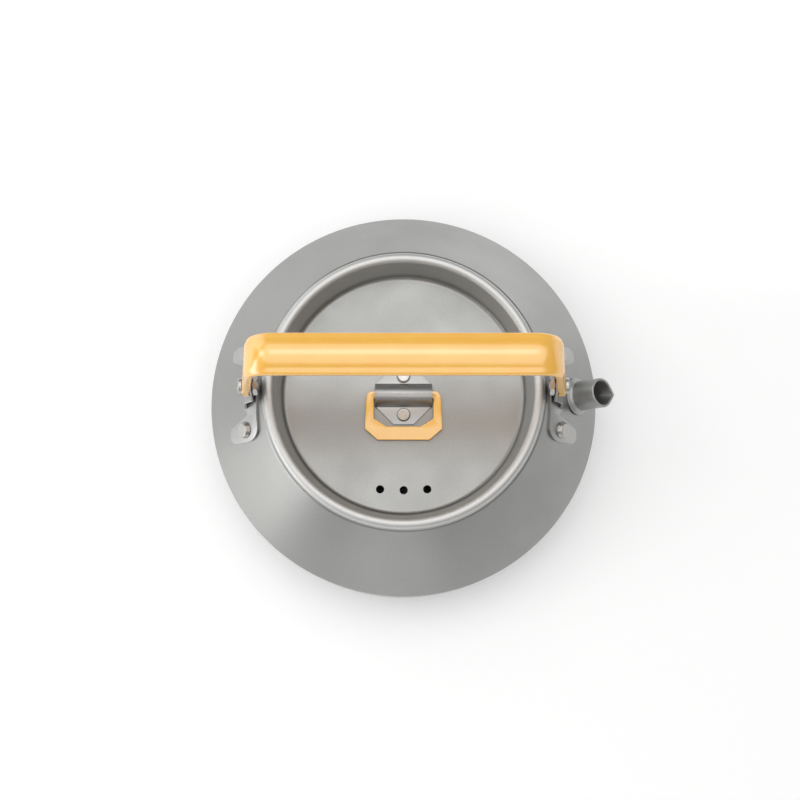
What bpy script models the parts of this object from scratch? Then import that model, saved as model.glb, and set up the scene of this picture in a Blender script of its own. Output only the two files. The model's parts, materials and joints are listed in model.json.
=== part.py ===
"""Camping teapot in stainless steel with a coated bail handle and a ring-pull lid.

Units are metres and +Z is up. The origin is on the pot's axis, at the middle of its flat
underside. The spout points along +X and the handle's pivots lie on the X axis.
"""

from math import acos, atan2, cos, degrees, hypot, pi, radians, sin, sqrt, tan

import bmesh
import bpy
from mathutils import Matrix, Vector

# Body pressings
BODY_RADIUS = 0.088
WALL_HEIGHT = 0.030
SHOULDER_RISE = 0.0304
BODY_SHEET = 0.0008
BASE_CORNER_RADIUS = 0.008
BASE_GROOVE_INSET = 0.016
BASE_GROOVE_WIDTH = 0.004
BASE_GROOVE_DEPTH = 0.0007
SEAM_SKIRT = 0.0022
EDGE_RADIUS = 0.0010
MOUTH_HEM_DEPTH = 0.0030
MOUTH_CORNER_RADIUS = 0.0010
MOUTH_LEDGE_MARGIN = 0.0006
BODY_SEGMENTS = 56

# Lid
LID_SHEET = 0.0008
LID_CREST_INSET = 0.0297
LID_BEAD_RADIUS = 0.0024
LID_RECESS_DEPTH = 0.0147
LID_RECESS_DRAFT = 0.0022
LID_FLOOR_FILLET = 0.0020
LID_CLEARANCE = 0.0006
VENT_DIAMETER = 0.0036
VENT_PITCH = 0.01025
VENT_INSET = 0.0093
VENT_BOW = 0.0004
VENT_COUNT = 3

# Spout
SPOUT_DIAMETER = 0.0130
SPOUT_WALL = 0.0011
SPOUT_BASE_INSET = 0.0105
SPOUT_REACH = 0.0134
SPOUT_TAIL = 0.0030
SPOUT_SLANT = 0.0011
SPOUT_BEAK = 0.0018
SPOUT_BEAK_LENGTH = 0.0055
SPOUT_BEAK_CURVE = 1.5
SPOUT_BEAK_STEPS = 4
SPOUT_SEGMENTS = 28
COLLAR_DIAMETER = 0.0168
COLLAR_THICKNESS = 0.0012
COLLAR_EASE = 0.0004

# Handle brackets, with their places measured in from the pot's widest edge
BRACKET_SHEET = 0.0010
BRACKET_INNER_INSET = 0.0258
BRACKET_WAIST_INSET = 0.0250
BRACKET_NOTCH_INSET = 0.0211
BRACKET_FOLD_INSET = 0.0193
BRACKET_OUTER_INSET = 0.0119
BRACKET_HALF_LENGTH = 0.0217
BRACKET_LOBE_WIDTH = 0.0065
BRACKET_NECK_LENGTH = 0.0050
BRACKET_INNER_ROUND = 0.0048
BRACKET_OUTER_ROUND = 0.0034
BRACKET_LOBE_ROUND = 0.0024
BRACKET_NOTCH_ROUND = 0.0009
EAR_ROOT_SETBACK = 0.0020
EAR_TIP_RADIUS = 0.0042
EAR_TIP_START = 32
EAR_JOGGLE_START = 0.0045
EAR_JOGGLE_BELOW_PIVOT = 0.0049
RIVET_INSET = 0.0196
RIVET_END_DISTANCE = 0.00525

# Handle
PIVOT_ARM_INSET = 0.0194
ARM_LEAN = 0.0089
GRIP_RISE = 0.0612
GRIP_WIDTH = 0.0162
GRIP_CROWN = 0.0020
GRIP_CROWN_SHARE = 0.70
CROWN_FADE = 0.8
BEND_RADIUS = 0.0115
BEND_STEPS = 8
ARM_TOP_WIDTH = 0.0154
ARM_END_WIDTH = 0.0088
ARM_END_THICKNESS = 0.0026
ARM_FLAT_LENGTH = 0.0045
ARM_OPENING_LENGTH = 0.0070
ARM_STATIONS = 8
END_ANGLES = (-78, -58, -38, -18)
END_EDGE_SHARE = 0.06
HANDLE_SHEET = 0.0012
HANDLE_LIP = 0.0030
HANDLE_ROUND = 0.0008
EDGE_SHARE = 0.93

# Pivot screws and nuts
SCREW_DIAMETER = 0.0040
SCREW_HEAD_DIAMETER = 0.0074
SCREW_HEAD_HEIGHT = 0.0018
SCREW_HEAD_EASE = 0.0006
SCREW_SOCKET_WIDTH = 0.0025
SCREW_SOCKET_DEPTH = 0.0010
NUT_ACROSS_FLATS = 0.0070
NUT_THICKNESS = 0.0022
NUT_CLEARANCE = 0.000324

# Rivets
RIVET_HEAD_DIAMETER = 0.0075
RIVET_HEAD_HEIGHT = 0.0020
RIVET_SHANK_DIAMETER = 0.0032
RIVET_TAIL_DIAMETER = 0.0050
RIVET_TAIL_HEIGHT = 0.0010
RIVET_EASE = 0.0004
RIVET_FLANK_LEAN = 0.35
LID_RIVET_HEAD_DIAMETER = 0.0062
LID_RIVET_HEAD_HEIGHT = 0.0014

# Lid ring and its saddle
RING_CENTRE_Y = -0.0010
RING_PIVOT_ABOVE_FLOOR = 0.0028
RING_THICKNESS = 0.0020
RING_BAR_WIDTH = 0.0032
RING_TOP_HALF_WIDTH = 0.0162
RING_HALF_WIDTH = 0.0170
RING_REACH = 0.0200
RING_CHAMFER_START = 0.0151
RING_TIP_HALF_WIDTH = 0.01135
RING_OPENING_HALF_WIDTH = 0.01305
RING_OPENING_REACH = 0.0141
RING_OPENING_CHAMFER_START = 0.0106
RING_OPENING_TIP_HALF_WIDTH = 0.0074
RING_CORNER_RADIUS = 0.0030
SADDLE_SHEET = 0.0010
SADDLE_HALF_WIDTH = 0.01255
SADDLE_INNER_RADIUS = 0.0025
SADDLE_FOOT_Y = 0.0053
SADDLE_TAB_LENGTH = 0.0129
SADDLE_TAB_ROOT_HALF_WIDTH = 0.0119
SADDLE_TAB_TIP_HALF_WIDTH = 0.00445
LID_RIVET_SPACING = 0.01734

# Clearances
GAP = 0.0003
HOLE_CLEARANCE = 0.0003
MERGE = 0.00001
CUTTER_MARGIN = 0.004

# Chords in the small rounds and sides of the drills
EDGE_STEPS = 3
ROUND_STEPS = 5
BEAD_STEPS = 8
RIVET_DRILL_SIDES = 12
RIVET_SIDES = 16
VENT_SIDES = 16
PIVOT_SIDES = 20
SHARP_ANGLE = radians(32)

# Values that follow from the sizes above
MOUTH_SEAT_HEIGHT = WALL_HEIGHT + SHOULDER_RISE
BASE_GROOVE_RADIUS = BODY_RADIUS - BASE_GROOVE_INSET
LID_CREST_RADIUS = BODY_RADIUS - LID_CREST_INSET
LEDGE_RADIUS = LID_CREST_RADIUS + LID_BEAD_RADIUS + MOUTH_LEDGE_MARGIN
SHOULDER_SLOPE = atan2(SHOULDER_RISE, BODY_RADIUS - LEDGE_RADIUS)
LID_BEAD_HEIGHT = MOUTH_SEAT_HEIGHT + GAP
LID_CREST_HEIGHT = LID_BEAD_HEIGHT + LID_BEAD_RADIUS
LID_FLOOR_HEIGHT = LID_CREST_HEIGHT - LID_RECESS_DEPTH
LID_FLOOR_RADIUS = LID_CREST_RADIUS - LID_BEAD_RADIUS - LID_RECESS_DRAFT - LID_FLOOR_FILLET
MOUTH_RADIUS = LID_CREST_RADIUS - LID_BEAD_RADIUS + LID_SHEET + LID_CLEARANCE
VENT_OFFSET = LID_FLOOR_RADIUS - VENT_INSET
SPOUT_BASE_RADIUS = BODY_RADIUS - SPOUT_BASE_INSET
RING_PIVOT_HEIGHT = LID_FLOOR_HEIGHT + RING_PIVOT_ABOVE_FLOOR
BRACKET_INNER_X = BODY_RADIUS - BRACKET_INNER_INSET
BRACKET_WAIST_X = BODY_RADIUS - BRACKET_WAIST_INSET
BRACKET_NOTCH_X = BODY_RADIUS - BRACKET_NOTCH_INSET
BRACKET_FOLD_X = BODY_RADIUS - BRACKET_FOLD_INSET
BRACKET_OUTER_X = BODY_RADIUS - BRACKET_OUTER_INSET
BRACKET_LIFT = (GAP + BRACKET_SHEET) / cos(SHOULDER_SLOPE)
BRACKET_LOBE_ROOT_Y = BRACKET_HALF_LENGTH - BRACKET_LOBE_WIDTH
BRACKET_NOTCH_Y = BRACKET_LOBE_ROOT_Y - BRACKET_NECK_LENGTH
EAR_ROOT_HALF_WIDTH = BRACKET_NOTCH_Y - EAR_ROOT_SETBACK
RIVET_X = BODY_RADIUS - RIVET_INSET
RIVET_Y = BRACKET_HALF_LENGTH - RIVET_END_DISTANCE
NUT_CORNER_RADIUS = NUT_ACROSS_FLATS / sqrt(3)
WAIST_HEIGHT = WALL_HEIGHT + BRACKET_WAIST_INSET * tan(SHOULDER_SLOPE) + BRACKET_LIFT
PIVOT_HEIGHT = WAIST_HEIGHT + NUT_CLEARANCE + NUT_CORNER_RADIUS
PIVOT_ARM_X = BODY_RADIUS - PIVOT_ARM_INSET
GRIP_HALF_LENGTH = PIVOT_ARM_X - ARM_LEAN
GRIP_HEIGHT = PIVOT_HEIGHT + GRIP_RISE
ARM_INNER_X = PIVOT_ARM_X - ARM_END_THICKNESS
EAR_OUTER_X = ARM_INNER_X - GAP
EAR_INNER_X = EAR_OUTER_X - BRACKET_SHEET


def start_scene():
    """Empty the scene and make one collection for the pot and one for its cutters."""
    for old in list(bpy.data.objects):
        bpy.data.objects.remove(old, do_unlink=True)
    made = []
    for name in ("camping_teapot", "cutters"):
        collection = bpy.data.collections.new(name)
        bpy.context.scene.collection.children.link(collection)
        made.append(collection)
    return made


PARTS, CUTTERS = start_scene()


def material(name, colour, roughness, metallic):
    """Return a new Principled material."""
    new = bpy.data.materials.new(name)
    new.use_nodes = True
    shader = new.node_tree.nodes["Principled BSDF"]
    shader.inputs["Base Color"].default_value = (*colour, 1.0)
    shader.inputs["Roughness"].default_value = roughness
    shader.inputs["Metallic"].default_value = metallic
    return new


def body_steel(name):
    """Satin stainless steel of the pressings."""
    return material(name + "_steel", (0.45, 0.45, 0.44), 0.38, 1.0)


def bright_steel(name):
    """Brighter steel of rivets, screws and nuts."""
    return material(name + "_steel", (0.60, 0.60, 0.59), 0.28, 1.0)


def orange_coat(name):
    """Light orange satin coating of the handle and the ring."""
    return material(name + "_coat", (1.0, 0.50, 0.12), 0.35, 0.3)


def add_part(name, mesh, finish, place=None):
    """Link a mesh as one of the pot's sub-parts, shaded smooth with sharp edges kept."""
    part = bpy.data.objects.new(name, mesh)
    PARTS.objects.link(part)
    mesh.materials.append(finish(name))
    shade(mesh)
    if place is not None:
        part.matrix_world = place
    return part


def add_cutter(name, mesh, place=None):
    """Link a mesh as a cutter, which is drawn as wire and not rendered."""
    cutter = bpy.data.objects.new(name, mesh)
    CUTTERS.objects.link(cutter)
    cutter.hide_render = True
    cutter.display_type = "WIRE"
    if place is not None:
        cutter.matrix_world = place
    return cutter


def shade(mesh):
    """Shade smooth across soft angles and keep the sharp edges."""
    mesh.shade_smooth()
    mesh.set_sharp_from_angle(angle=SHARP_ANGLE)


def boolean(part, cutter, operation):
    """Add an exact Boolean modifier."""
    modifier = part.modifiers.new(cutter.name, "BOOLEAN")
    modifier.operation = operation
    modifier.solver = "EXACT"
    modifier.object = cutter


def mesh_from(bm, name):
    """Turn a bmesh into a mesh."""
    mesh = bpy.data.meshes.new(name)
    bm.to_mesh(mesh)
    bm.free()
    return mesh


def arc(centre, radius, start, end, steps):
    """Points along an arc in a plane, with both ends; angles are in degrees."""
    angles = [radians(start + (end - start) * i / steps) for i in range(steps + 1)]
    return [(centre[0] + radius * cos(a), centre[1] + radius * sin(a)) for a in angles]


def rounded(corners):
    """Round the corners of a closed outline, each by its own radius, 0 for none."""
    points = []
    count = len(corners)
    for i, (x, y, radius) in enumerate(corners):
        here = Vector((x, y))
        if radius == 0:
            points.append(tuple(here))
            continue
        before = Vector(corners[i - 1][:2]) - here
        after = Vector(corners[(i + 1) % count][:2]) - here
        half = before.angle(after) / 2
        reach = radius / tan(half)
        inwards = (before.normalized() + after.normalized()).normalized()
        middle = here + inwards * (radius / sin(half))
        first = here + before.normalized() * reach - middle
        last = here + after.normalized() * reach - middle
        sweep = first.angle_signed(last)
        for step in range(ROUND_STEPS + 1):
            swung = Matrix.Rotation(-sweep * step / ROUND_STEPS, 2)
            points.append(tuple(middle + swung @ first))
    return points


def offset_line(points, distance):
    """Offset an open line to its left by a distance, with mitred corners."""
    moved = []
    for i, point in enumerate(points):
        here = Vector(point)
        before = (here - Vector(points[i - 1])).normalized() if i > 0 else None
        after = (Vector(points[i + 1]) - here).normalized() if i + 1 < len(points) else None
        directions = [d for d in (before, after) if d is not None]
        normals = [Vector((-d.y, d.x)) for d in directions]
        mitre = sum(normals, Vector((0.0, 0.0))).normalized()
        moved.append(tuple(here + mitre * (distance / mitre.dot(normals[0]))))
    return moved


def prism(outline, low, high, name, axes="XYZ"):
    """Extrude a closed outline along the last of the three named axes."""
    bm = bmesh.new()
    order = ["XYZ".index(letter) for letter in axes]
    base = []
    for first, second in outline:
        spot = [0.0, 0.0, 0.0]
        spot[order[0]] = first
        spot[order[1]] = second
        spot[order[2]] = low
        base.append(bm.verts.new(spot))
    face = bm.faces.new(base)
    shift = Vector((0.0, 0.0, 0.0))
    shift[order[2]] = high - low
    top = bmesh.ops.extrude_face_region(bm, geom=[face], use_keep_orig=True)
    moved = [item for item in top["geom"] if isinstance(item, bmesh.types.BMVert)]
    bmesh.ops.translate(bm, verts=moved, vec=shift)
    bmesh.ops.recalc_face_normals(bm, faces=bm.faces[:])
    return mesh_from(bm, name)


def profile_mesh(points, name):
    """An open profile in the XZ plane, as edges."""
    bm = bmesh.new()
    verts = [bm.verts.new((x, 0.0, z)) for x, z in points]
    for first, second in zip(verts, verts[1:]):
        bm.edges.new((first, second))
    return mesh_from(bm, name)


def turn(part, steps):
    """Screw a profile round the Z axis, in one full turn."""
    screw = part.modifiers.new("turn", "SCREW")
    screw.axis = "Z"
    screw.angle = 2 * pi
    screw.steps = steps
    screw.render_steps = steps
    screw.use_merge_vertices = True
    screw.merge_threshold = MERGE
    screw.use_smooth_shade = True


def turned_sheet(name, points, thickness, finish):
    """A pressed sheet: its outer side is a turned profile and its wall lies inside."""
    part = add_part(name, profile_mesh(points, name), finish)
    turn(part, BODY_SEGMENTS)
    wall = part.modifiers.new("wall", "SOLIDIFY")
    wall.thickness = thickness
    wall.offset = -1.0
    wall.use_even_offset = True
    return part


def cylinder(radius, low, high, segments, name):
    """A closed cylinder on the Z axis."""
    bm = bmesh.new()
    bmesh.ops.create_cone(bm, cap_ends=True, segments=segments, radius1=radius,
                          radius2=radius, depth=high - low)
    bmesh.ops.translate(bm, verts=bm.verts, vec=(0.0, 0.0, (low + high) / 2))
    return mesh_from(bm, name)


def shoulder_height(radius):
    """Height of the shoulder's outer side at a distance from the axis."""
    return WALL_HEIGHT + (BODY_RADIUS - radius) * tan(SHOULDER_SLOPE)


def on_shoulder(x, y):
    """A frame on the shoulder above a plan point, with its Z axis square to the sheet."""
    radius = hypot(x, y)
    azimuth = atan2(y, x)
    frame = Matrix.Translation((x, y, shoulder_height(radius)))
    return frame @ Matrix.Rotation(azimuth, 4, "Z") @ Matrix.Rotation(SHOULDER_SLOPE, 4, "Y")


def build_lower_pan():
    """Drawn lower pan with a rounded corner and a pressed groove under its base."""
    top = WALL_HEIGHT - SEAM_SKIRT - GAP
    corner = (BODY_RADIUS - BASE_CORNER_RADIUS, BASE_CORNER_RADIUS)
    groove_out = BASE_GROOVE_RADIUS + BASE_GROOVE_WIDTH / 2
    groove_in = BASE_GROOVE_RADIUS - BASE_GROOVE_WIDTH / 2
    bevel = BASE_GROOVE_WIDTH / 4
    profile = [(BODY_RADIUS, top)]
    profile += arc(corner, BASE_CORNER_RADIUS, 0, -90, ROUND_STEPS)
    profile += [(groove_out, 0.0), (groove_out - bevel, BASE_GROOVE_DEPTH)]
    profile += [(groove_in + bevel, BASE_GROOVE_DEPTH), (groove_in, 0.0), (0.0, 0.0)]
    return turned_sheet("lower_pan", profile, BODY_SHEET, body_steel)


def build_shoulder(spout_place, rivet_places):
    """Conical shoulder with the seam skirt below and the hemmed mouth above."""
    slope = degrees(SHOULDER_SLOPE)
    round_in = MOUTH_CORNER_RADIUS
    edge_drop = EDGE_RADIUS * tan((pi / 2 - SHOULDER_SLOPE) / 2)
    edge_out = (BODY_RADIUS - EDGE_RADIUS, WALL_HEIGHT - edge_drop)
    ledge = (LEDGE_RADIUS - EDGE_RADIUS * tan(SHOULDER_SLOPE / 2), MOUTH_SEAT_HEIGHT - EDGE_RADIUS)
    profile = [(MOUTH_RADIUS, MOUTH_SEAT_HEIGHT - MOUTH_HEM_DEPTH)]
    profile += arc((MOUTH_RADIUS + round_in, MOUTH_SEAT_HEIGHT - round_in), round_in, 180, 90, EDGE_STEPS)
    profile += arc(ledge, EDGE_RADIUS, 90, 90 - slope, EDGE_STEPS)
    profile += arc(edge_out, EDGE_RADIUS, 90 - slope, 0, EDGE_STEPS)
    profile += [(BODY_RADIUS, WALL_HEIGHT - SEAM_SKIRT)]
    part = turned_sheet("shoulder", profile, BODY_SHEET, body_steel)
    hole = cylinder(SPOUT_DIAMETER / 2 + HOLE_CLEARANCE, -CUTTER_MARGIN, CUTTER_MARGIN,
                    SPOUT_SEGMENTS, "spout_hole")
    boolean(part, add_cutter("spout_hole", hole, spout_place), "DIFFERENCE")
    for number, place in enumerate(rivet_places):
        name = "shoulder_rivet_hole_%d" % number
        drill = cylinder(RIVET_SHANK_DIAMETER / 2 + HOLE_CLEARANCE, -CUTTER_MARGIN,
                         CUTTER_MARGIN, RIVET_DRILL_SIDES, name)
        boolean(part, add_cutter(name, drill, place), "DIFFERENCE")
    return part


def build_lid(rivet_places):
    """Recessed lid whose rolled bead sits on the mouth's ledge, with three steam vents."""
    bead = (LID_CREST_RADIUS, LID_BEAD_HEIGHT)
    fillet = (LID_FLOOR_RADIUS, LID_FLOOR_HEIGHT + LID_FLOOR_FILLET)
    lean = degrees(atan2(LID_RECESS_DRAFT, LID_RECESS_DEPTH))
    profile = [(0.0, LID_FLOOR_HEIGHT)]
    profile += arc(fillet, LID_FLOOR_FILLET, -90, -lean, EDGE_STEPS)
    profile += arc(bead, LID_BEAD_RADIUS, 180 - lean, 0, BEAD_STEPS)
    part = turned_sheet("lid_pan", profile, LID_SHEET, body_steel)
    for index in range(VENT_COUNT):
        step = index - (VENT_COUNT - 1) / 2
        place = Matrix.Translation((step * VENT_PITCH, -VENT_OFFSET - VENT_BOW * (1 - abs(step)),
                                    LID_FLOOR_HEIGHT))
        name = "vent_%d" % (index + 1)
        drill = cylinder(VENT_DIAMETER / 2, -CUTTER_MARGIN, CUTTER_MARGIN, VENT_SIDES, name)
        boolean(part, add_cutter(name, drill, place), "DIFFERENCE")
    for number, place in enumerate(rivet_places):
        name = "lid_rivet_hole_%d" % number
        drill = cylinder(RIVET_SHANK_DIAMETER / 2 + HOLE_CLEARANCE, -CUTTER_MARGIN,
                         CUTTER_MARGIN, RIVET_DRILL_SIDES, name)
        boolean(part, add_cutter(name, drill, place), "DIFFERENCE")
    return part


def spout_section(radius, sharpness):
    """Radii round the spout: a circle whose outer side is drawn to a beak."""
    tip = radius + SPOUT_BEAK * sharpness
    tangent = acos(radius / tip)
    radii = []
    for index in range(SPOUT_SEGMENTS):
        angle = 2 * pi * index / SPOUT_SEGMENTS
        away = min(angle, 2 * pi - angle)
        radii.append(radius / cos(tangent - away) if away < tangent else radius)
    return radii


def build_spout_tube(place):
    """Short spout tube, square to the shoulder, with a beaked mouth."""
    outer = SPOUT_DIAMETER / 2
    beak_start = SPOUT_REACH - SPOUT_BEAK_LENGTH
    stations = [(-SPOUT_TAIL, 0.0), (beak_start, 0.0)]
    for step in range(1, SPOUT_BEAK_STEPS + 1):
        share = step / SPOUT_BEAK_STEPS
        stations.append((beak_start + SPOUT_BEAK_LENGTH * share, share ** SPOUT_BEAK_CURVE))
    bm = bmesh.new()
    loops = []
    for radius, ordered in ((outer, stations), (outer - SPOUT_WALL, stations[::-1])):
        for height, sharpness in ordered:
            loop = []
            for index, reach in enumerate(spout_section(radius, sharpness)):
                angle = 2 * pi * index / SPOUT_SEGMENTS
                lift = height + SPOUT_SLANT * cos(angle) * sharpness
                loop.append(bm.verts.new((reach * cos(angle), reach * sin(angle), lift)))
            loops.append(loop)
    for lower, upper in zip(loops, loops[1:] + loops[:1]):
        for index in range(SPOUT_SEGMENTS):
            after = (index + 1) % SPOUT_SEGMENTS
            bm.faces.new((lower[index], lower[after], upper[after], upper[index]))
    bmesh.ops.recalc_face_normals(bm, faces=bm.faces[:])
    return add_part("spout_tube", mesh_from(bm, "spout_tube"), body_steel, place)


def build_spout_collar(place):
    """Weld collar round the foot of the spout."""
    inner = SPOUT_DIAMETER / 2 + GAP
    outer = COLLAR_DIAMETER / 2
    top = GAP + COLLAR_THICKNESS
    points = [(inner, top), (outer - COLLAR_EASE, top), (outer, top - COLLAR_EASE), (outer, GAP),
              (inner, GAP), (inner, top)]
    part = add_part("spout_collar", profile_mesh(points, "spout_collar"), body_steel, place)
    turn(part, SPOUT_SEGMENTS)
    weld = part.modifiers.new("weld", "WELD")
    weld.merge_threshold = MERGE
    return part


def bracket_outline():
    """Plan of a handle bracket: a strip along the rim with a lobe at each end."""
    half = [
        (BRACKET_WAIST_X, -BRACKET_NOTCH_Y, 0),
        (BRACKET_INNER_X, -BRACKET_HALF_LENGTH, BRACKET_INNER_ROUND),
        (BRACKET_OUTER_X, -BRACKET_HALF_LENGTH, BRACKET_OUTER_ROUND),
        (BRACKET_OUTER_X, -BRACKET_LOBE_ROOT_Y, BRACKET_LOBE_ROUND),
        (BRACKET_NOTCH_X, -BRACKET_NOTCH_Y, BRACKET_NOTCH_ROUND),
        (BRACKET_FOLD_X, -EAR_ROOT_HALF_WIDTH, 0),
    ]
    return rounded(half + [(x, -y, radius) for x, y, radius in half[::-1]])


def ear_outline():
    """Side view of a bracket's ear, along the pivot's axis."""
    foot = shoulder_height(BRACKET_FOLD_X)
    tip = arc((0.0, PIVOT_HEIGHT), EAR_TIP_RADIUS, EAR_TIP_START, 180 - EAR_TIP_START, BEAD_STEPS)
    return [(EAR_ROOT_HALF_WIDTH, foot), *tip, (-EAR_ROOT_HALF_WIDTH, foot)]


def ear_section():
    """Section of a bracket's ear across its fold and its joggle, in the XZ plane."""
    half = BRACKET_SHEET / 2
    foot = shoulder_height(BRACKET_FOLD_X) + (GAP + half) / cos(SHOULDER_SLOPE)
    middle = EAR_OUTER_X - half
    line = [(BRACKET_FOLD_X, foot), (BRACKET_FOLD_X, foot + EAR_JOGGLE_START),
            (middle, PIVOT_HEIGHT - EAR_JOGGLE_BELOW_PIVOT), (middle, PIVOT_HEIGHT + CUTTER_MARGIN),
            (middle, PIVOT_HEIGHT + 2 * EAR_TIP_RADIUS)]
    return offset_line(line, half) + offset_line(line, -half)[::-1]


def build_bracket(side, rivet_places):
    """Bracket pressed to the shoulder's cone, with an ear joggled up to the pivot."""
    name = "handle_bracket_" + side
    low, high = BRACKET_INNER_X - GAP, BRACKET_OUTER_X + CUTTER_MARGIN
    profile = [(low, shoulder_height(low) + BRACKET_LIFT), (high, shoulder_height(high) + BRACKET_LIFT)]
    part = turned_sheet(name, profile, BRACKET_SHEET, body_steel)
    plan = prism(bracket_outline(), WALL_HEIGHT, GRIP_HEIGHT, name + "_plan")
    ear_plan = prism(ear_outline(), EAR_INNER_X - CUTTER_MARGIN, BRACKET_OUTER_X,
                     name + "_ear_plan", "YZX")
    ear = prism(ear_section(), -BRACKET_NOTCH_Y, BRACKET_NOTCH_Y, name + "_ear", "XZY")
    mirror = Matrix.Rotation(pi, 4, "Z") if side == "left" else Matrix.Identity(4)
    ear_cutter = add_cutter(name + "_ear", ear, mirror)
    boolean(ear_cutter, add_cutter(name + "_ear_plan", ear_plan, mirror), "INTERSECT")
    boolean(part, add_cutter(name + "_plan", plan, mirror), "INTERSECT")
    boolean(part, ear_cutter, "UNION")
    bore = cylinder(SCREW_DIAMETER / 2 + HOLE_CLEARANCE, EAR_INNER_X - CUTTER_MARGIN,
                    PIVOT_ARM_X + CUTTER_MARGIN, PIVOT_SIDES, name + "_bore")
    boolean(part, add_cutter(name + "_bore", bore, mirror @ pivot_frame()), "DIFFERENCE")
    for number, place in enumerate(rivet_places):
        drill = cylinder(RIVET_SHANK_DIAMETER / 2 + HOLE_CLEARANCE, -CUTTER_MARGIN,
                         CUTTER_MARGIN, RIVET_DRILL_SIDES, name + "_drill")
        boolean(part, add_cutter("%s_hole_%d" % (name, number), drill, place), "DIFFERENCE")
    return part


def pivot_frame():
    """A frame at the pivots' height whose Z axis runs along +X."""
    return Matrix.Translation((0.0, 0.0, PIVOT_HEIGHT)) @ Matrix.Rotation(pi / 2, 4, "Y")


def build_rivet(name, place, head_diameter, head_height, held_sheet, lower_sheet):
    """Rivet with a flat leaning head outside and a closed tail inside the lower sheet."""
    head = head_diameter / 2
    flat = head - head_height * RIVET_FLANK_LEAN
    shank = RIVET_SHANK_DIAMETER / 2
    tail = RIVET_TAIL_DIAMETER / 2
    seat = GAP + held_sheet + GAP
    top = seat + head_height
    under = -lower_sheet - GAP
    points = [(0.0, top), (flat - RIVET_EASE, top), (flat, top - RIVET_EASE), (head, seat),
              (shank, seat), (shank, under), (tail, under), (tail, under - RIVET_TAIL_HEIGHT),
              (0.0, under - RIVET_TAIL_HEIGHT)]
    part = add_part(name, profile_mesh(points, name), bright_steel, place)
    turn(part, RIVET_SIDES)
    return part


def arm_stations():
    """Stations of the right-hand arm and bend, from the arm's end, as handle_line gives them."""
    knee = Vector((PIVOT_ARM_X, PIVOT_HEIGHT + ARM_FLAT_LENGTH))
    corner = Vector((GRIP_HALF_LENGTH, GRIP_HEIGHT))
    lean = atan2(knee.x - corner.x, corner.y - knee.y)
    up = Vector((-sin(lean), cos(lean)))
    out = Vector((cos(lean), sin(lean)))
    bend = pi / 2 - lean
    bend_start = corner - up * BEND_RADIUS * tan(bend / 2)
    centre = bend_start - out * BEND_RADIUS
    arm_length = (bend_start - knee).length
    end_half, top_half, grip_half = ARM_END_WIDTH / 2, ARM_TOP_WIDTH / 2, GRIP_WIDTH / 2
    stations = []
    for angle in END_ANGLES:
        drop = end_half * sin(radians(angle))
        half = end_half * cos(radians(angle))
        stations.append((PIVOT_ARM_X, PIVOT_HEIGHT + drop, 1.0, 0.0, half, 0.0, 1.0))
    stations.append((PIVOT_ARM_X, PIVOT_HEIGHT, 1.0, 0.0, end_half, 0.0, 1.0))
    for index in range(ARM_STATIONS + 1):
        share = index / ARM_STATIONS
        spot = knee + up * arm_length * share
        flatness = max(1 - arm_length * share / ARM_OPENING_LENGTH, 0.0)
        half = end_half + (top_half - end_half) * share
        stations.append((*spot, *out, half, 0.0, flatness))
    for index in range(1, BEND_STEPS + 1):
        share = index / BEND_STEPS
        angle = lean + bend * share
        normal = Vector((cos(angle), sin(angle)))
        spot = centre + normal * BEND_RADIUS
        half = top_half + (grip_half - top_half) * share
        grown = max(1 - (1 - share) / CROWN_FADE, 0.0)
        crown = GRIP_CROWN * grown * grown * (3 - 2 * grown)
        stations.append((*spot, *normal, half, crown, 0.0))
    return stations


def handle_line():
    """Stations along the handle's outer face, from one end to the other.

    Each station is (x, z, normal_x, normal_z, half_width, crown, flatness), where flatness
    is 1 at the solid flat ends and 0 where the strap is an open channel.
    """
    stations = arm_stations()
    mirrored = [(-x, z, -nx, nz, half, crown, flat)
                for x, z, nx, nz, half, crown, flat in stations[::-1]]
    return stations + mirrored


def strap_section(half, crown, flatness):
    """Closed section of the strap: a crowned channel, or a flat plate at its ends."""
    outer = [(-half, -HANDLE_LIP), (-half, -HANDLE_SHEET), (-half * EDGE_SHARE, -HANDLE_ROUND)]
    for share in (1.0, 2 / 3, 1 / 3, 0.0):
        outer.append((-half * GRIP_CROWN_SHARE * share, crown * (1 - share ** 2)))
    outer += [(-u, v) for u, v in outer[-2::-1]]
    inner = []
    for u, v in outer[::-1]:
        inner_u = u * (1 - (1 - flatness) * HANDLE_SHEET / half - flatness * END_EDGE_SHARE)
        channel_v = v if v <= -HANDLE_LIP else v - HANDLE_SHEET
        inner.append((inner_u, channel_v * (1 - flatness) - ARM_END_THICKNESS * flatness))
    flat_outer = [(u, v * (1 - flatness) - ARM_END_THICKNESS * flatness * (v <= -HANDLE_LIP))
                  for u, v in outer]
    return flat_outer + inner


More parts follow.
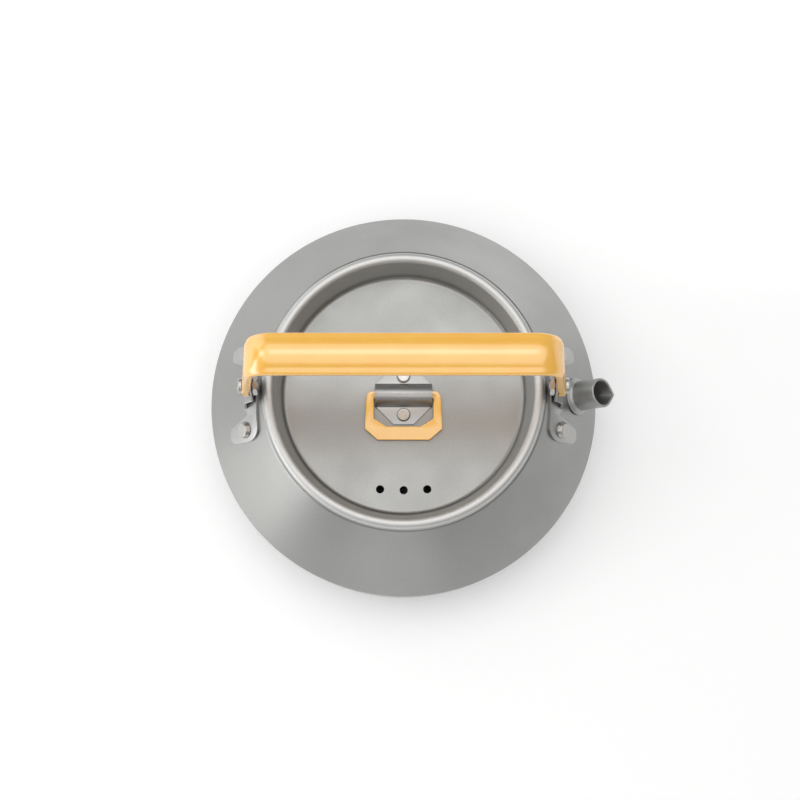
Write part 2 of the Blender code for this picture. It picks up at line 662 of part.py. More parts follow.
def build_handle():
    """Bail handle: one coated strap, crowned at the grip and flat at its pivoted ends."""
    bm = bmesh.new()
    loops = []
    for x, z, nx, nz, half, crown, flatness in handle_line():
        loop = []
        for across, out in strap_section(half, crown, flatness):
            loop.append(bm.verts.new((x + nx * out, across, z + nz * out)))
        loops.append(loop)
    count = len(loops[0])
    for lower, upper in zip(loops, loops[1:]):
        for index in range(count):
            after = (index + 1) % count
            bm.faces.new((lower[index], lower[after], upper[after], upper[index]))
    for end in (loops[0], loops[-1]):
        bm.faces.new(end)
    bmesh.ops.recalc_face_normals(bm, faces=bm.faces[:])
    pivot = Matrix.Translation((0.0, 0.0, PIVOT_HEIGHT))
    bmesh.ops.transform(bm, matrix=pivot.inverted(), verts=bm.verts)
    part = add_part("bail_handle", mesh_from(bm, "bail_handle"), orange_coat, pivot)
    reach = PIVOT_ARM_X + CUTTER_MARGIN
    bore = cylinder(SCREW_DIAMETER / 2 + HOLE_CLEARANCE, -reach, reach, PIVOT_SIDES, "handle_bore")
    boolean(part, add_cutter("handle_bore", bore, pivot_frame()), "DIFFERENCE")
    return part


def build_pivot(side):
    """Screw and hex nut that hold one handle arm to its bracket's ear."""
    turned = Matrix.Rotation(pi, 4, "Z") if side == "left" else Matrix.Identity(4)
    place = turned @ pivot_frame()
    head = SCREW_HEAD_DIAMETER / 2
    shank = SCREW_DIAMETER / 2
    seat = PIVOT_ARM_X + GAP
    top = seat + SCREW_HEAD_HEIGHT
    nut_high = EAR_INNER_X - GAP
    nut_low = nut_high - NUT_THICKNESS
    points = [(0.0, top), (head - SCREW_HEAD_EASE, top), (head, top - SCREW_HEAD_EASE),
              (head, seat), (shank, seat), (shank, nut_low - GAP), (0.0, nut_low - GAP)]
    screw = add_part("pivot_screw_" + side, profile_mesh(points, "pivot_screw"), bright_steel, place)
    turn(screw, PIVOT_SIDES)
    socket = cylinder(SCREW_SOCKET_WIDTH / sqrt(3), top - SCREW_SOCKET_DEPTH, top + CUTTER_MARGIN,
                      6, "screw_socket")
    boolean(screw, add_cutter("screw_socket_" + side, socket, place), "DIFFERENCE")
    hexagon = cylinder(NUT_CORNER_RADIUS, nut_low, nut_high, 6, "pivot_nut")
    nut = add_part("pivot_nut_" + side, hexagon, bright_steel, place)
    thread = cylinder(shank + GAP, nut_low - CUTTER_MARGIN, nut_high + CUTTER_MARGIN,
                      PIVOT_SIDES, "nut_thread")
    boolean(nut, add_cutter("nut_thread_" + side, thread, place), "DIFFERENCE")


def build_saddle(rivet_places):
    """Folded saddle on the lid, which traps the ring's bar under its crown."""
    base = LID_FLOOR_HEIGHT + GAP + SADDLE_SHEET
    crown_radius = SADDLE_INNER_RADIUS + SADDLE_SHEET
    slope = atan2(RING_PIVOT_HEIGHT - base, SADDLE_FOOT_Y)
    reach = hypot(SADDLE_FOOT_Y, RING_PIVOT_HEIGHT - base)
    start = degrees(acos(crown_radius / reach) - slope)
    half = arc((0.0, RING_PIVOT_HEIGHT), crown_radius, start, 90, ROUND_STEPS)
    right = [(SADDLE_TAB_LENGTH, base), (SADDLE_FOOT_Y, base)] + half
    line = right + [(-y, z) for y, z in right[-2::-1]]
    section = line + offset_line(line, SADDLE_SHEET)[::-1]
    body = prism(section, -SADDLE_HALF_WIDTH, SADDLE_HALF_WIDTH, "ring_saddle", "YZX")
    place = Matrix.Translation((0.0, RING_CENTRE_Y, 0.0))
    part = add_part("ring_saddle", body, body_steel, place)
    quarter = [(SADDLE_HALF_WIDTH, SADDLE_FOOT_Y), (SADDLE_TAB_ROOT_HALF_WIDTH, SADDLE_FOOT_Y),
               (SADDLE_TAB_TIP_HALF_WIDTH, SADDLE_TAB_LENGTH)]
    outline = quarter + [(-x, y) for x, y in quarter[::-1]]
    outline += [(-x, -y) for x, y in outline]
    plan = prism(outline, LID_FLOOR_HEIGHT - LID_SHEET, LID_CREST_HEIGHT, "saddle_plan")
    boolean(part, add_cutter("saddle_plan", plan, place), "INTERSECT")
    for number, spot in enumerate(rivet_places):
        name = "saddle_hole_%d" % number
        drill = cylinder(RIVET_SHANK_DIAMETER / 2 + HOLE_CLEARANCE, -CUTTER_MARGIN,
                         CUTTER_MARGIN, RIVET_DRILL_SIDES, name)
        boolean(part, add_cutter(name, drill, spot), "DIFFERENCE")
    return part


def build_ring():
    """Flat coated lifting ring, lying towards -Y with its tip just off the lid's floor."""
    bar = RING_BAR_WIDTH / 2
    half = [(RING_TOP_HALF_WIDTH, bar, RING_CORNER_RADIUS), (RING_HALF_WIDTH, -RING_CHAMFER_START, 0),
            (RING_TIP_HALF_WIDTH, -RING_REACH, 0)]
    outline = rounded(half + [(-x, y, radius) for x, y, radius in half[::-1]])
    inside = [(RING_OPENING_HALF_WIDTH, -bar), (RING_OPENING_HALF_WIDTH, -RING_OPENING_CHAMFER_START),
              (RING_OPENING_TIP_HALF_WIDTH, -RING_OPENING_REACH)]
    opening = inside + [(-x, y) for x, y in inside[::-1]]
    drop = RING_PIVOT_ABOVE_FLOOR - RING_THICKNESS / 2 - GAP
    tilt = atan2(drop, RING_REACH)
    place = Matrix.Translation((0.0, RING_CENTRE_Y, RING_PIVOT_HEIGHT))
    place = place @ Matrix.Rotation(tilt, 4, "X")
    thick = RING_THICKNESS / 2
    part = add_part("lifting_ring", prism(outline, -thick, thick, "lifting_ring"), orange_coat, place)
    window = prism(opening, -CUTTER_MARGIN, CUTTER_MARGIN, "ring_window")
    boolean(part, add_cutter("ring_window", window, place), "DIFFERENCE")
    return part


def main():
    """Build the teapot."""
    spout_place = on_shoulder(SPOUT_BASE_RADIUS, 0.0)
    rivets = {(side, end): on_shoulder(x_sign * RIVET_X, y_sign * RIVET_Y)
              for side, x_sign in (("left", -1), ("right", 1))
              for end, y_sign in (("front", -1), ("back", 1))}
    lid_rivets = {end: Matrix.Translation((0.0, RING_CENTRE_Y + sign * LID_RIVET_SPACING / 2,
                                           LID_FLOOR_HEIGHT))
                  for end, sign in (("front", -1), ("back", 1))}
    build_lower_pan()
    build_shoulder(spout_place, rivets.values())
    build_spout_tube(spout_place)
    build_spout_collar(spout_place)
    for side in ("left", "right"):
        build_bracket(side, [rivets[side, "front"], rivets[side, "back"]])
        build_pivot(side)
    for (side, end), place in rivets.items():
        build_rivet("bracket_rivet_%s_%s" % (side, end), place, RIVET_HEAD_DIAMETER,
                    RIVET_HEAD_HEIGHT, BRACKET_SHEET, BODY_SHEET)
    build_handle()
    build_lid(lid_rivets.values())
    build_saddle(lid_rivets.values())
    for end, place in lid_rivets.items():
        build_rivet("lid_rivet_" + end, place, LID_RIVET_HEAD_DIAMETER, LID_RIVET_HEAD_HEIGHT,
                    SADDLE_SHEET, LID_SHEET)
    build_ring()


main()
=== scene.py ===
"""Camping teapot in stainless steel with a coated bail handle and a ring-pull lid.

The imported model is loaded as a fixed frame. Each sub-assembly below models its pieces finely,
gives them their finish and stands them in for the model's plain ones. Units are metres, +Z is
up, the origin is at the middle of the pot's underside and the spout points along +X.
"""

from __future__ import annotations

import json
import logging
from collections.abc import Callable, Iterable, Sequence
from dataclasses import dataclass, replace
from enum import Enum
from math import acos, atan2, cos, degrees, hypot, pi, radians, sin, sqrt, tan

import bmesh
import bpy
from mathutils import Matrix, Vector

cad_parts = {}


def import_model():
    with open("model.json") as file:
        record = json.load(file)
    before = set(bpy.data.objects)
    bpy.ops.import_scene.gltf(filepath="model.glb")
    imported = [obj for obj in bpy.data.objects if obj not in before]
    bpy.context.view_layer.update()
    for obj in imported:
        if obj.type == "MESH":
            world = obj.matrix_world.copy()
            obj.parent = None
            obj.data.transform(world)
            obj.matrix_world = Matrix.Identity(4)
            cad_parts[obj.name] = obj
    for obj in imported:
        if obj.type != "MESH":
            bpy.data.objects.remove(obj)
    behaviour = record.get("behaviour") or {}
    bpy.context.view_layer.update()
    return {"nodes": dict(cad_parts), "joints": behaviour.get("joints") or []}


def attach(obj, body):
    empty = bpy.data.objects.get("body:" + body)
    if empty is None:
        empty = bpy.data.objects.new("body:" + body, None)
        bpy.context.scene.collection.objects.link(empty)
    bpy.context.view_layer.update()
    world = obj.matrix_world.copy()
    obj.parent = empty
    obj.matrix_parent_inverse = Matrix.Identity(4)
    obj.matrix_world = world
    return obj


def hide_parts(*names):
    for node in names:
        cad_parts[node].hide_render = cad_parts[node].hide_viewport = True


LOG = logging.getLogger("camping_teapot")

# Points nearer than this are one
MERGE = 0.000005
# How far a cutting solid reaches to each side of thin sheet, or past the face of a thick piece
CUT_REACH = 0.004
OVERRUN = 0.001
HOLE_SEGMENTS = 48

Point = tuple[float, float]


class Finish(Enum):
    """The object's finishes, each with the record's material slot that it belongs to."""

    SHEET = ("drawn sheet", "satin_steel")
    STRIP = ("pressed strip", "satin_steel")
    TUBE = ("rolled tube", "satin_steel")
    # The lid's finish carries painted light, a paler colour on its wall and bead
    LID = ("burnished lid", "satin_steel")
    FASTENER = ("fastener", "bright_steel")
    COAT = ("coating", "orange_coat")

    @property
    def label(self) -> str:
        """The finish in a maker's words."""
        return self.value[0]

    @property
    def slot(self) -> str:
        """The record's material slot of this finish."""
        return self.value[1]


class Side(Enum):
    """The two handle mounts, by the sign of their place along X."""

    LEFT = -1
    RIGHT = 1

    @property
    def word(self) -> str:
        """The side's name in the pieces' names."""
        return self.name.lower()

    @property
    def turn(self) -> Matrix:
        """The turn about Z that carries a right-hand piece to this side."""
        return Matrix.Rotation(pi if self is Side.LEFT else 0.0, 4, "Z")


# Finishes


def linear(hex_colour: str) -> tuple[float, float, float, float]:
    """Turn an sRGB hex colour into linear RGBA.

    Args:
        hex_colour: Six hex digits.

    Returns:
        The linear colour with full alpha.
    """
    values = [int(hex_colour[i:i + 2], 16) / 255 for i in (0, 2, 4)]
    red, green, blue = (v / 12.92 if v <= 0.04045 else ((v + 0.055) / 1.055) ** 2.4
                        for v in values)
    return red, green, blue, 1.0


def add_node(tree: bpy.types.NodeTree, kind: str, values: dict[str, object] | None = None,
             **settings: object) -> bpy.types.Node:
    """Add a node with its settings and input values.

    Args:
        tree: The node tree to add to.
        kind: The node's type, without its ShaderNode prefix.
        values: Input socket values or output sockets to link, by socket name.
        settings: Properties of the node itself.

    Returns:
        The new node.
    """
    node = tree.nodes.new("ShaderNode" + kind)
    for name, value in settings.items():
        setattr(node, name, value)
    for name, value in (values or {}).items():
        if isinstance(value, bpy.types.NodeSocket):
            tree.links.new(value, node.inputs[name])
        else:
            node.inputs[name].default_value = value
    return node


def per_metre(size: float) -> float:
    """The scale of a texture whose features have this size in metres."""
    return 1.0 / size


def noise(tree: bpy.types.NodeTree, size: float, detail: float = 2.0,
          rough: float = 0.5) -> bpy.types.NodeSocket:
    """Add noise on object coordinates.

    Args:
        tree: The material's node tree.
        size: Size of the features in metres.
        detail: Octaves of finer noise.
        rough: Share of the finer octaves.

    Returns:
        The noise value's socket.
    """
    place = add_node(tree, "TexCoord").outputs["Object"]
    texture = add_node(tree, "TexNoise", {"Vector": place, "Scale": per_metre(size),
                                          "Detail": detail, "Roughness": rough})
    return texture.outputs["Fac"]


def spread(tree: bpy.types.NodeTree, value: bpy.types.NodeSocket, low: float,
           high: float, start: float = 0.3, end: float = 0.7) -> bpy.types.NodeSocket:
    """Map a value's range to another one, clamped.

    Args:
        tree: The material's node tree.
        value: The socket to map.
        low: Result at the range's start.
        high: Result at the range's end.
        start: Where the incoming range starts.
        end: Where the incoming range ends.

    Returns:
        The mapped value's socket.
    """
    node = add_node(tree, "MapRange", {"Value": value, "From Min": start, "From Max": end,
                                       "To Min": low, "To Max": high})
    return node.outputs["Result"]


def tinted(tree: bpy.types.NodeTree, factor: bpy.types.NodeSocket, first: str,
           second: str) -> bpy.types.NodeSocket:
    """Mix two sRGB hex colours by a factor.

    Args:
        tree: The material's node tree.
        factor: Share of the second colour.
        first: Colour at 0.
        second: Colour at 1.

    Returns:
        The mixed colour's socket.
    """
    ramp = add_node(tree, "ValToRGB", {"Fac": factor})
    ramp.color_ramp.elements[0].color = linear(first)
    ramp.color_ramp.elements[1].color = linear(second)
    return ramp.outputs["Color"]


def bumped(tree: bpy.types.NodeTree, height: bpy.types.NodeSocket, depth: float,
           under: bpy.types.NodeSocket | None = None) -> bpy.types.NodeSocket:
    """Turn a height into a bumped normal.

    Args:
        tree: The material's node tree.
        height: Height socket, 0 to 1.
        depth: Depth of the relief in metres.
        under: A coarser bump to lay this one on.

    Returns:
        The normal's socket.
    """
    values: dict[str, object] = {"Height": height, "Distance": depth, "Strength": 1.0}
    if under is not None:
        values["Normal"] = under
    return add_node(tree, "Bump", values).outputs["Normal"]


def new_material(name: str) -> tuple[bpy.types.Material, bpy.types.Node]:
    """Make a node-based material.

    Args:
        name: The material's name.

    Returns:
        The material and its Principled shader.
    """
    material = bpy.data.materials.new(name)
    material.use_nodes = True
    return material, material.node_tree.nodes["Principled BSDF"]


@dataclass(frozen=True)
class SatinSteel:
    """Drawn stainless sheet with a fine tumbled satin."""

    name: str = "satin_stainless_sheet"
    dark: str = "9e9e9c"
    pale: str = "a6a6a4"
    low_roughness: float = 0.29
    high_roughness: float = 0.37
    grain: float = 0.0005
    relief: float = 0.000006
    patch: float = 0.018
    # Painted light: a paler colour, with a duller roughness, laid on the sheet past a distance from
    # the axis
    burnished: str = ""
    painted_light_from: float = 0.0
    painted_light_blend: float = 0.001
    painted_light_roughness: float = 0.50

    def build(self) -> bpy.types.Material:
        """The finish as a material."""
        material, shader = new_material(self.name)
        tree = material.node_tree
        # Fine tumbled grain, over slow patches left by the drawing press
        grain = noise(tree, self.grain, 2.0, 0.6)
        patches = noise(tree, self.patch, 2.0)
        tint = tinted(tree, spread(tree, grain, 0.0, 1.0), self.dark, self.pale)
        rough = spread(tree, patches, self.low_roughness, self.high_roughness)
        # Painted light: the paler colour past a distance from the axis
        if self.burnished:
            tint, rough = self.burnish(tree, tint, rough)
        tree.links.new(tint, shader.inputs["Base Color"])
        tree.links.new(rough, shader.inputs["Roughness"])
        tree.links.new(bumped(tree, grain, self.relief), shader.inputs["Normal"])
        shader.inputs["Metallic"].default_value = 1.0
        return material

    def burnish(self, tree: bpy.types.NodeTree, tint: bpy.types.NodeSocket,
                rough: bpy.types.NodeSocket
                ) -> tuple[bpy.types.NodeSocket, bpy.types.NodeSocket]:
        """Paint light past a distance from the axis: a paler colour that lifts the shade there, and
        a duller roughness.

        Args:
            tree: The material's node tree.
            tint: The sheet's own colour.
            rough: The sheet's own roughness.

        Returns:
            The sockets of the colour and the roughness.
        """
        place = add_node(tree, "TexCoord").outputs["Object"]
        flat = add_node(tree, "VectorMath", {0: place, 1: (1.0, 1.0, 0.0)}, operation="MULTIPLY")
        reach = add_node(tree, "VectorMath", {0: flat.outputs["Vector"]}, operation="LENGTH")
        share = spread(tree, reach.outputs["Value"], 0.0, 1.0, self.painted_light_from,
                       self.painted_light_from + self.painted_light_blend)
        mixed = add_node(tree, "MixRGB", {"Fac": share, "Color1": tint,
                                          "Color2": linear(self.burnished)})
        dulled = add_node(tree, "MapRange", {"Value": share, "To Min": rough,
                                             "To Max": self.painted_light_roughness})
        return mixed.outputs["Color"], dulled.outputs["Result"]


@dataclass(frozen=True)
class BrightSteel:
    """Polished stainless steel of the rivets, screws and nuts."""

    name: str = "polished_stainless_fastener"
    dark: str = "b2b0ac"
    pale: str = "bebcb8"
    low_roughness: float = 0.27
    high_roughness: float = 0.33
    scuff: float = 0.0012
    relief: float = 0.0000002

    def build(self) -> bpy.types.Material:
        """The finish as a material."""
        material, shader = new_material(self.name)
        tree = material.node_tree
        # Small scuffs from setting and tightening
        scuffs = noise(tree, self.scuff, 3.0, 0.6)
        tint = tinted(tree, spread(tree, scuffs, 0.0, 1.0), self.dark, self.pale)
        tree.links.new(tint, shader.inputs["Base Color"])
        rough = spread(tree, scuffs, self.high_roughness, self.low_roughness)
        tree.links.new(rough, shader.inputs["Roughness"])
        tree.links.new(bumped(tree, scuffs, self.relief), shader.inputs["Normal"])
        shader.inputs["Metallic"].default_value = 1.0
        return material


@dataclass(frozen=True)
class OrangeCoat:
    """Light orange satin coating on the bail handle and the lifting ring."""

    name: str = "orange_satin_coating"
    deep: str = "ffba33"
    pale: str = "ffc23d"
    low_roughness: float = 0.23
    high_roughness: float = 0.26
    gloss_ior: float = 2.5
    lacquer: float = 0.25
    lacquer_roughness: float = 0.2
    peel: float = 0.0008
    relief: float = 0.0000003
    mottle: float = 0.009

    def build(self) -> bpy.types.Material:
        """The finish as a material."""
        material, shader = new_material(self.name)
        tree = material.node_tree
        # Slow mottling of the coat's thickness and the fine peel of a sprayed surface
        mottle = noise(tree, self.mottle, 2.0)
        peel = noise(tree, self.peel, 2.0)
        tint = tinted(tree, spread(tree, mottle, 0.0, 1.0), self.deep, self.pale)
        tree.links.new(tint, shader.inputs["Base Color"])
        rough = spread(tree, peel, self.low_roughness, self.high_roughness)
        tree.links.new(rough, shader.inputs["Roughness"])
        tree.links.new(bumped(tree, peel, self.relief), shader.inputs["Normal"])
        # The pearly lacquer gives a broad white highlight, more than a plain clear coat's
        shader.inputs["IOR"].default_value = self.gloss_ior
        shader.inputs["Coat Weight"].default_value = self.lacquer
        shader.inputs["Coat Roughness"].default_value = self.lacquer_roughness
        return material


RECIPES = {
    Finish.SHEET: SatinSteel(),
    # Strip keeps the mill's flatter, paler grain
    Finish.STRIP: SatinSteel("satin_stainless_strip", "b0b0ae", "bababa", 0.35, 0.41,
                             relief=0.000002),
    # Tube is duller, so that its round side fades softly into the dark
    Finish.TUBE: SatinSteel("rolled_stainless_tube", "b0b0ae", "b8b8b6", 0.42, 0.50,
                            relief=0.000003),
    # The lid's floor mirrors the handle faintly, and its wall and bead get a paler colour, painted
    # light that lifts their shade
    Finish.LID: SatinSteel("burnished_stainless_lid", "969694", "9e9e9c", 0.34, 0.42,
                           burnished="cececc", painted_light_from=0.0532),
    Finish.FASTENER: BrightSteel(),
    Finish.COAT: OrangeCoat(),
}
Finishes = dict[Finish, bpy.types.Material]


# Mesh tools


def arc(centre: Point, radius: float, start: float, end: float, steps: int) -> list[Point]:
    """Points along an arc in a plane, with both ends.

    Args:
        centre: Centre of the arc.
        radius: Radius of the arc.
        start: First angle in degrees.
        end: Last angle in degrees.
        steps: Number of chords.

    Returns:
        The points, in order.
    """
    angles = [radians(start + (end - start) * i / steps) for i in range(steps + 1)]
    return [(centre[0] + radius * cos(a), centre[1] + radius * sin(a)) for a in angles]


def eased(corners: Sequence[tuple[float, float, float]], steps: int = 6, closed: bool = False,
          support: float = 0.0002) -> list[Point]:
    """Round a line's corners, with a supporting point on each side of every round.

    Args:
        corners: The line's corners, each with the radius of its round, 0 for none.
        steps: Chords in each round.
        closed: Whether the last corner joins the first.
        support: Distance of the supporting points from a round's ends.

    Returns:
        The points, in order.
    """
    points: list[Point] = []
    count = len(corners)
    for i, (x, y, radius) in enumerate(corners):
        here = Vector((x, y))
        if radius == 0 or (not closed and i in (0, count - 1)):
            points.append((x, y))
            continue
        before = Vector(corners[i - 1][:2]) - here
        after = Vector(corners[(i + 1) % count][:2]) - here
        half = before.angle(after) / 2
        reach = radius / tan(half)
        before_way, after_way = before.normalized(), after.normalized()
        middle = here + (before_way + after_way).normalized() * (radius / sin(half))
        first = here + before_way * reach - middle
        sweep = first.angle_signed(here + after_way * reach - middle)
        if reach + support < before.length / 2:
            points.append(tuple(here + before_way * (reach + support)))
        for step in range(steps + 1):
            points.append(tuple(middle + Matrix.Rotation(-sweep * step / steps, 2) @ first))
        if reach + support < after.length / 2:
            points.append(tuple(here + after_way * (reach + support)))
    return points


def object_from(bm: bmesh.types.BMesh, name: str) -> bpy.types.Object:
    """Turn a bmesh into a linked object.

    Args:
        bm: The mesh, which is freed.
        name: The object's name.

    Returns:
        The object.
    """
    mesh = bpy.data.meshes.new(name)
    bm.to_mesh(mesh)
    bm.free()
    piece = bpy.data.objects.new(name, mesh)
    bpy.context.scene.collection.objects.link(piece)
    return piece


def drawn_line(bm: bmesh.types.BMesh, points: Iterable[Vector],
               closed: bool = False) -> list[bmesh.types.BMEdge]:
    """Lay a chain of edges through points.

    Args:
        bm: The mesh to add to.
        points: The points, in order.
        closed: Whether the chain closes.

    Returns:
        The new edges.
    """
    verts = [bm.verts.new(point) for point in points]
    pairs = list(zip(verts, verts[1:]))
    if closed:
        pairs.append((verts[-1], verts[0]))
    return [bm.edges.new(pair) for pair in pairs]


def turned(name: str, line: Sequence[Point], segments: int, wall: float = 0.0,
           closed: bool = False, place: Matrix | None = None) -> bpy.types.Object:
    """Spin a profile once round the Z axis.

    Args:
        name: The object's name.
        line: The profile, as distance from the axis and height.
        segments: Steps of the spin.
        wall: Thickness laid on the inner side of the spun surface, 0 for none.
        closed: Whether the profile is a closed loop.
        place: Where the turned shape goes.

    Returns:
        The object, closed, with its faces pointing outwards.
    """
    bm = bmesh.new()
    edges = drawn_line(bm, [Vector((r, 0.0, z)) for r, z in line], closed)
    bmesh.ops.spin(bm, geom=bm.verts[:] + edges, cent=(0, 0, 0), axis=(0, 0, 1),
                   angle=2 * pi, steps=segments, use_merge=True, use_duplicate=False)
    bmesh.ops.remove_doubles(bm, verts=bm.verts[:], dist=MERGE)
    bmesh.ops.recalc_face_normals(bm, faces=bm.faces[:])
    if wall:
        bmesh.ops.solidify(bm, geom=bm.faces[:], thickness=wall)
    if place is not None:
        bmesh.ops.transform(bm, matrix=place, verts=bm.verts[:])
    return object_from(bm, name)


def extruded(bm: bmesh.types.BMesh, faces: Sequence[bmesh.types.BMFace],
             move: Callable[[Vector], Vector]) -> None:
    """Give flat faces a thickness, moving each point of the far side by its own step.

    Args:
        bm: The mesh that holds the faces.
        faces: The faces of the near side, which stay.
        move: The step from a near point to its far one.
    """
    grown = bmesh.ops.extrude_face_region(bm, geom=list(faces), use_keep_orig=True)
    for item in grown["geom"]:
        if isinstance(item, bmesh.types.BMVert):
            item.co += move(item.co)
    bmesh.ops.recalc_face_normals(bm, faces=bm.faces[:])


def ease_edges(bm: bmesh.types.BMesh, width: float, segments: int = 3,
               angle: float = 50.0) -> None:
    """Round every edge that turns by more than an angle.

    Args:
        bm: The mesh to ease.
        width: Width of the round.
        segments: Chords in the round.
        angle: Least turn of an edge that is rounded, in degrees.
    """
    sharp = [e for e in bm.edges
             if len(e.link_faces) == 2 and e.calc_face_angle() > radians(angle)]
    bmesh.ops.bevel(bm, geom=sharp, offset=width, offset_type="OFFSET", segments=segments,
                    profile=0.5, affect="EDGES", clamp_overlap=True, material=-1)


def eased_in_place(piece: bpy.types.Object, width: float, segments: int) -> None:
    """Round the sharp edges of a finished object.

    Args:
        piece: The object, whose mesh is changed.
        width: Width of the round.
        segments: Chords in the round.
    """
    bm = bmesh.new()
    bm.from_mesh(piece.data)
    bmesh.ops.remove_doubles(bm, verts=bm.verts[:], dist=MERGE)
    ease_edges(bm, width, segments)
    bm.to_mesh(piece.data)
    bm.free()


def plate(outline: Sequence[Point], low: float, high: float) -> bmesh.types.BMesh:
    """A flat plate with a closed outline in XY.

    Args:
        outline: The outline's points, in order.
        low: Height of its underside.
        high: Height of its top.

    Returns:
        The plate's mesh.
    """
    bm = bmesh.new()
    face = bm.faces.new([bm.verts.new((x, y, low)) for x, y in outline])
    extruded(bm, [face], lambda _: Vector((0.0, 0.0, high - low)))
    return bm


def sliced(bm: bmesh.types.BMesh, axis: Vector, start: float, end: float, step: float) -> None:
    """Cut a mesh across an axis at even steps, so that it can bend.

    Args:
        bm: The mesh to cut.
        axis: Direction across which it is cut.
        start: First cut, along the axis.
        end: Last cut.
        step: Largest distance between cuts.
    """
    count = max(1, round(abs(end - start) / step))
    for i in range(count + 1):
        at = start + (end - start) * i / count
        bmesh.ops.bisect_plane(bm, geom=bm.verts[:] + bm.edges[:] + bm.faces[:],
                               plane_co=axis * at, plane_no=axis, dist=MERGE)


def drilled(piece: bpy.types.Object, drills: Sequence[bpy.types.Object],
            operation: str = "DIFFERENCE") -> None:
    """Cut a piece with other solids, which are used up.

    Args:
        piece: The object to cut.
        drills: The cutting solids.
        operation: The Boolean operation.
    """
    for drill in drills:
        modifier = piece.modifiers.new(drill.name, "BOOLEAN")
        modifier.operation = operation
        modifier.solver = "EXACT"
        modifier.object = drill
    evaluated = piece.evaluated_get(bpy.context.evaluated_depsgraph_get())
    old = piece.data
    piece.data = bpy.data.meshes.new_from_object(evaluated)
    piece.modifiers.clear()
    bpy.data.meshes.remove(old)
    piece.data.name = piece.name
    for drill in drills:
        bpy.data.objects.remove(drill, do_unlink=True)


def rod(radius: float, low: float, high: float, segments: int, place: Matrix) -> bpy.types.Object:
    """A closed cylinder on a frame's Z axis, for cutting.

    Args:
        radius: Its radius.
        low: Where it starts along Z.
        high: Where it ends.
        segments: Sides of the cylinder.
        place: The frame.

    Returns:
        The cylinder.
    """
    bm = bmesh.new()
    shift = place @ Matrix.Translation((0.0, 0.0, (low + high) / 2))
    bmesh.ops.create_cone(bm, cap_ends=True, segments=segments, radius1=radius, radius2=radius,
                          depth=high - low, matrix=shift)
    return object_from(bm, "rod")


def dress(piece: bpy.types.Object, finishes: Finishes, finish: Finish, body: str,
          *nodes: str, sharp: float = 35.0) -> bpy.types.Object:
    """Shade a piece, give it its finish and put it in the place of the model's nodes.

    Args:
        piece: The finished mesh object.
        finishes: The object's finishes.
        finish: Which of them it has.
        body: Body that it moves with.
        nodes: Nodes that it stands for.
        sharp: Edges that turn by more than this stay sharp, in degrees.

    Returns:
        The piece.
    """
    piece.data.materials.clear()
    piece.data.materials.append(finishes[finish])
    piece.data.shade_smooth()
    piece.data.set_sharp_from_angle(angle=radians(sharp))
    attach(piece, body)
    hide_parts(*nodes)
    LOG.info("%s in %s rides on %s for %s", piece.name, finish.label, body, ", ".join(nodes))
    return piece


# The pot


@dataclass
class Pot:
    """The lower pan and the conical shoulder that is lapped over it."""

    finishes: Finishes
    radius: float = 0.088
    wall_height: float = 0.030
    sheet: float = 0.0008
    base_corner: float = 0.008
    groove_radius: float = 0.072
    groove_width: float = 0.004
    groove_depth: float = 0.0007
    groove_round: float = 0.0006
    skirt: float = 0.0022
    edge_radius: float = 0.0010
    seat_height: float = 0.0604
    ledge_radius: float = 0.0613
    ledge_round: float = 0.0022
    mouth_radius: float = 0.0573
    mouth_hem: float = 0.0030
    mouth_round: float = 0.0010
    gap: float = 0.0003
    contact: float = 0.00005
    segments: int = 256
    spout_hole_segments: int = 64

    @property
    def slope(self) -> float:
        """Steepness of the shoulder, in radians."""
        return atan2(self.seat_height - self.wall_height, self.radius - self.ledge_radius)

    def height_at(self, radius: float) -> float:
        """Height of the shoulder's outer side at a distance from the axis."""
        return self.wall_height + (self.radius - radius) * tan(self.slope)

    def place_at(self, x: float, y: float) -> Matrix:
        """A frame on the shoulder above a plan point, with Z square to the sheet.

        Args:
            x: Plan place along X.
            y: Plan place along Y.

        Returns:
            The frame.
        """
        spot = Matrix.Translation((x, y, self.height_at(hypot(x, y))))
        return spot @ Matrix.Rotation(atan2(y, x), 4, "Z") @ Matrix.Rotation(self.slope, 4, "Y")

    def build(self, spout: Matrix, spout_radius: float) -> None:
        """Model and dress both pressings.

        Args:
            spout: The frame at the spout's foot.
            spout_radius: Radius of the hole under it.
        """
        self.build_lower_pan()
        self.build_shoulder(spout, spout_radius)

    def build_lower_pan(self) -> None:
        """Drawn pan with a round corner and a pressed groove under its base."""
        top = self.wall_height - self.skirt - self.gap
        half, bevel = self.groove_width / 2, self.groove_width / 4
        line = eased([
            (self.radius, top, 0.0),
            (self.radius, 0.0, self.base_corner),
            (self.groove_radius + half, 0.0, self.groove_round),
            (self.groove_radius + half - bevel, self.groove_depth, self.groove_round),
            (self.groove_radius - half + bevel, self.groove_depth, self.groove_round),
            (self.groove_radius - half, 0.0, self.groove_round),
            (0.0, 0.0, 0.0),
        ], steps=8)
        pan = turned("lower_pan_shell", line, self.segments, self.sheet)
        dress(pan, self.finishes, Finish.SHEET, "pot", "lower_pan")

    def build_shoulder(self, spout: Matrix, spout_radius: float) -> None:
        """Cone with the lap skirt below and the hemmed mouth above.

        Args:
            spout: The frame at the spout's foot.
            spout_radius: Radius of the hole under it.
        """
        line = eased([
            (self.mouth_radius, self.seat_height - self.mouth_hem, 0.0),
            (self.mouth_radius, self.seat_height, self.mouth_round),
            (self.ledge_radius, self.seat_height, self.ledge_round),
            (self.radius, self.wall_height, self.edge_radius),
            (self.radius, self.wall_height - self.skirt, 0.0),
        ], steps=8)
        shell = turned("shoulder_shell", line, self.segments, self.sheet)
        drilled(shell, [rod(spout_radius, -CUT_REACH, CUT_REACH, self.spout_hole_segments, spout)])
        dress(shell, self.finishes, Finish.SHEET, "pot", "shoulder")


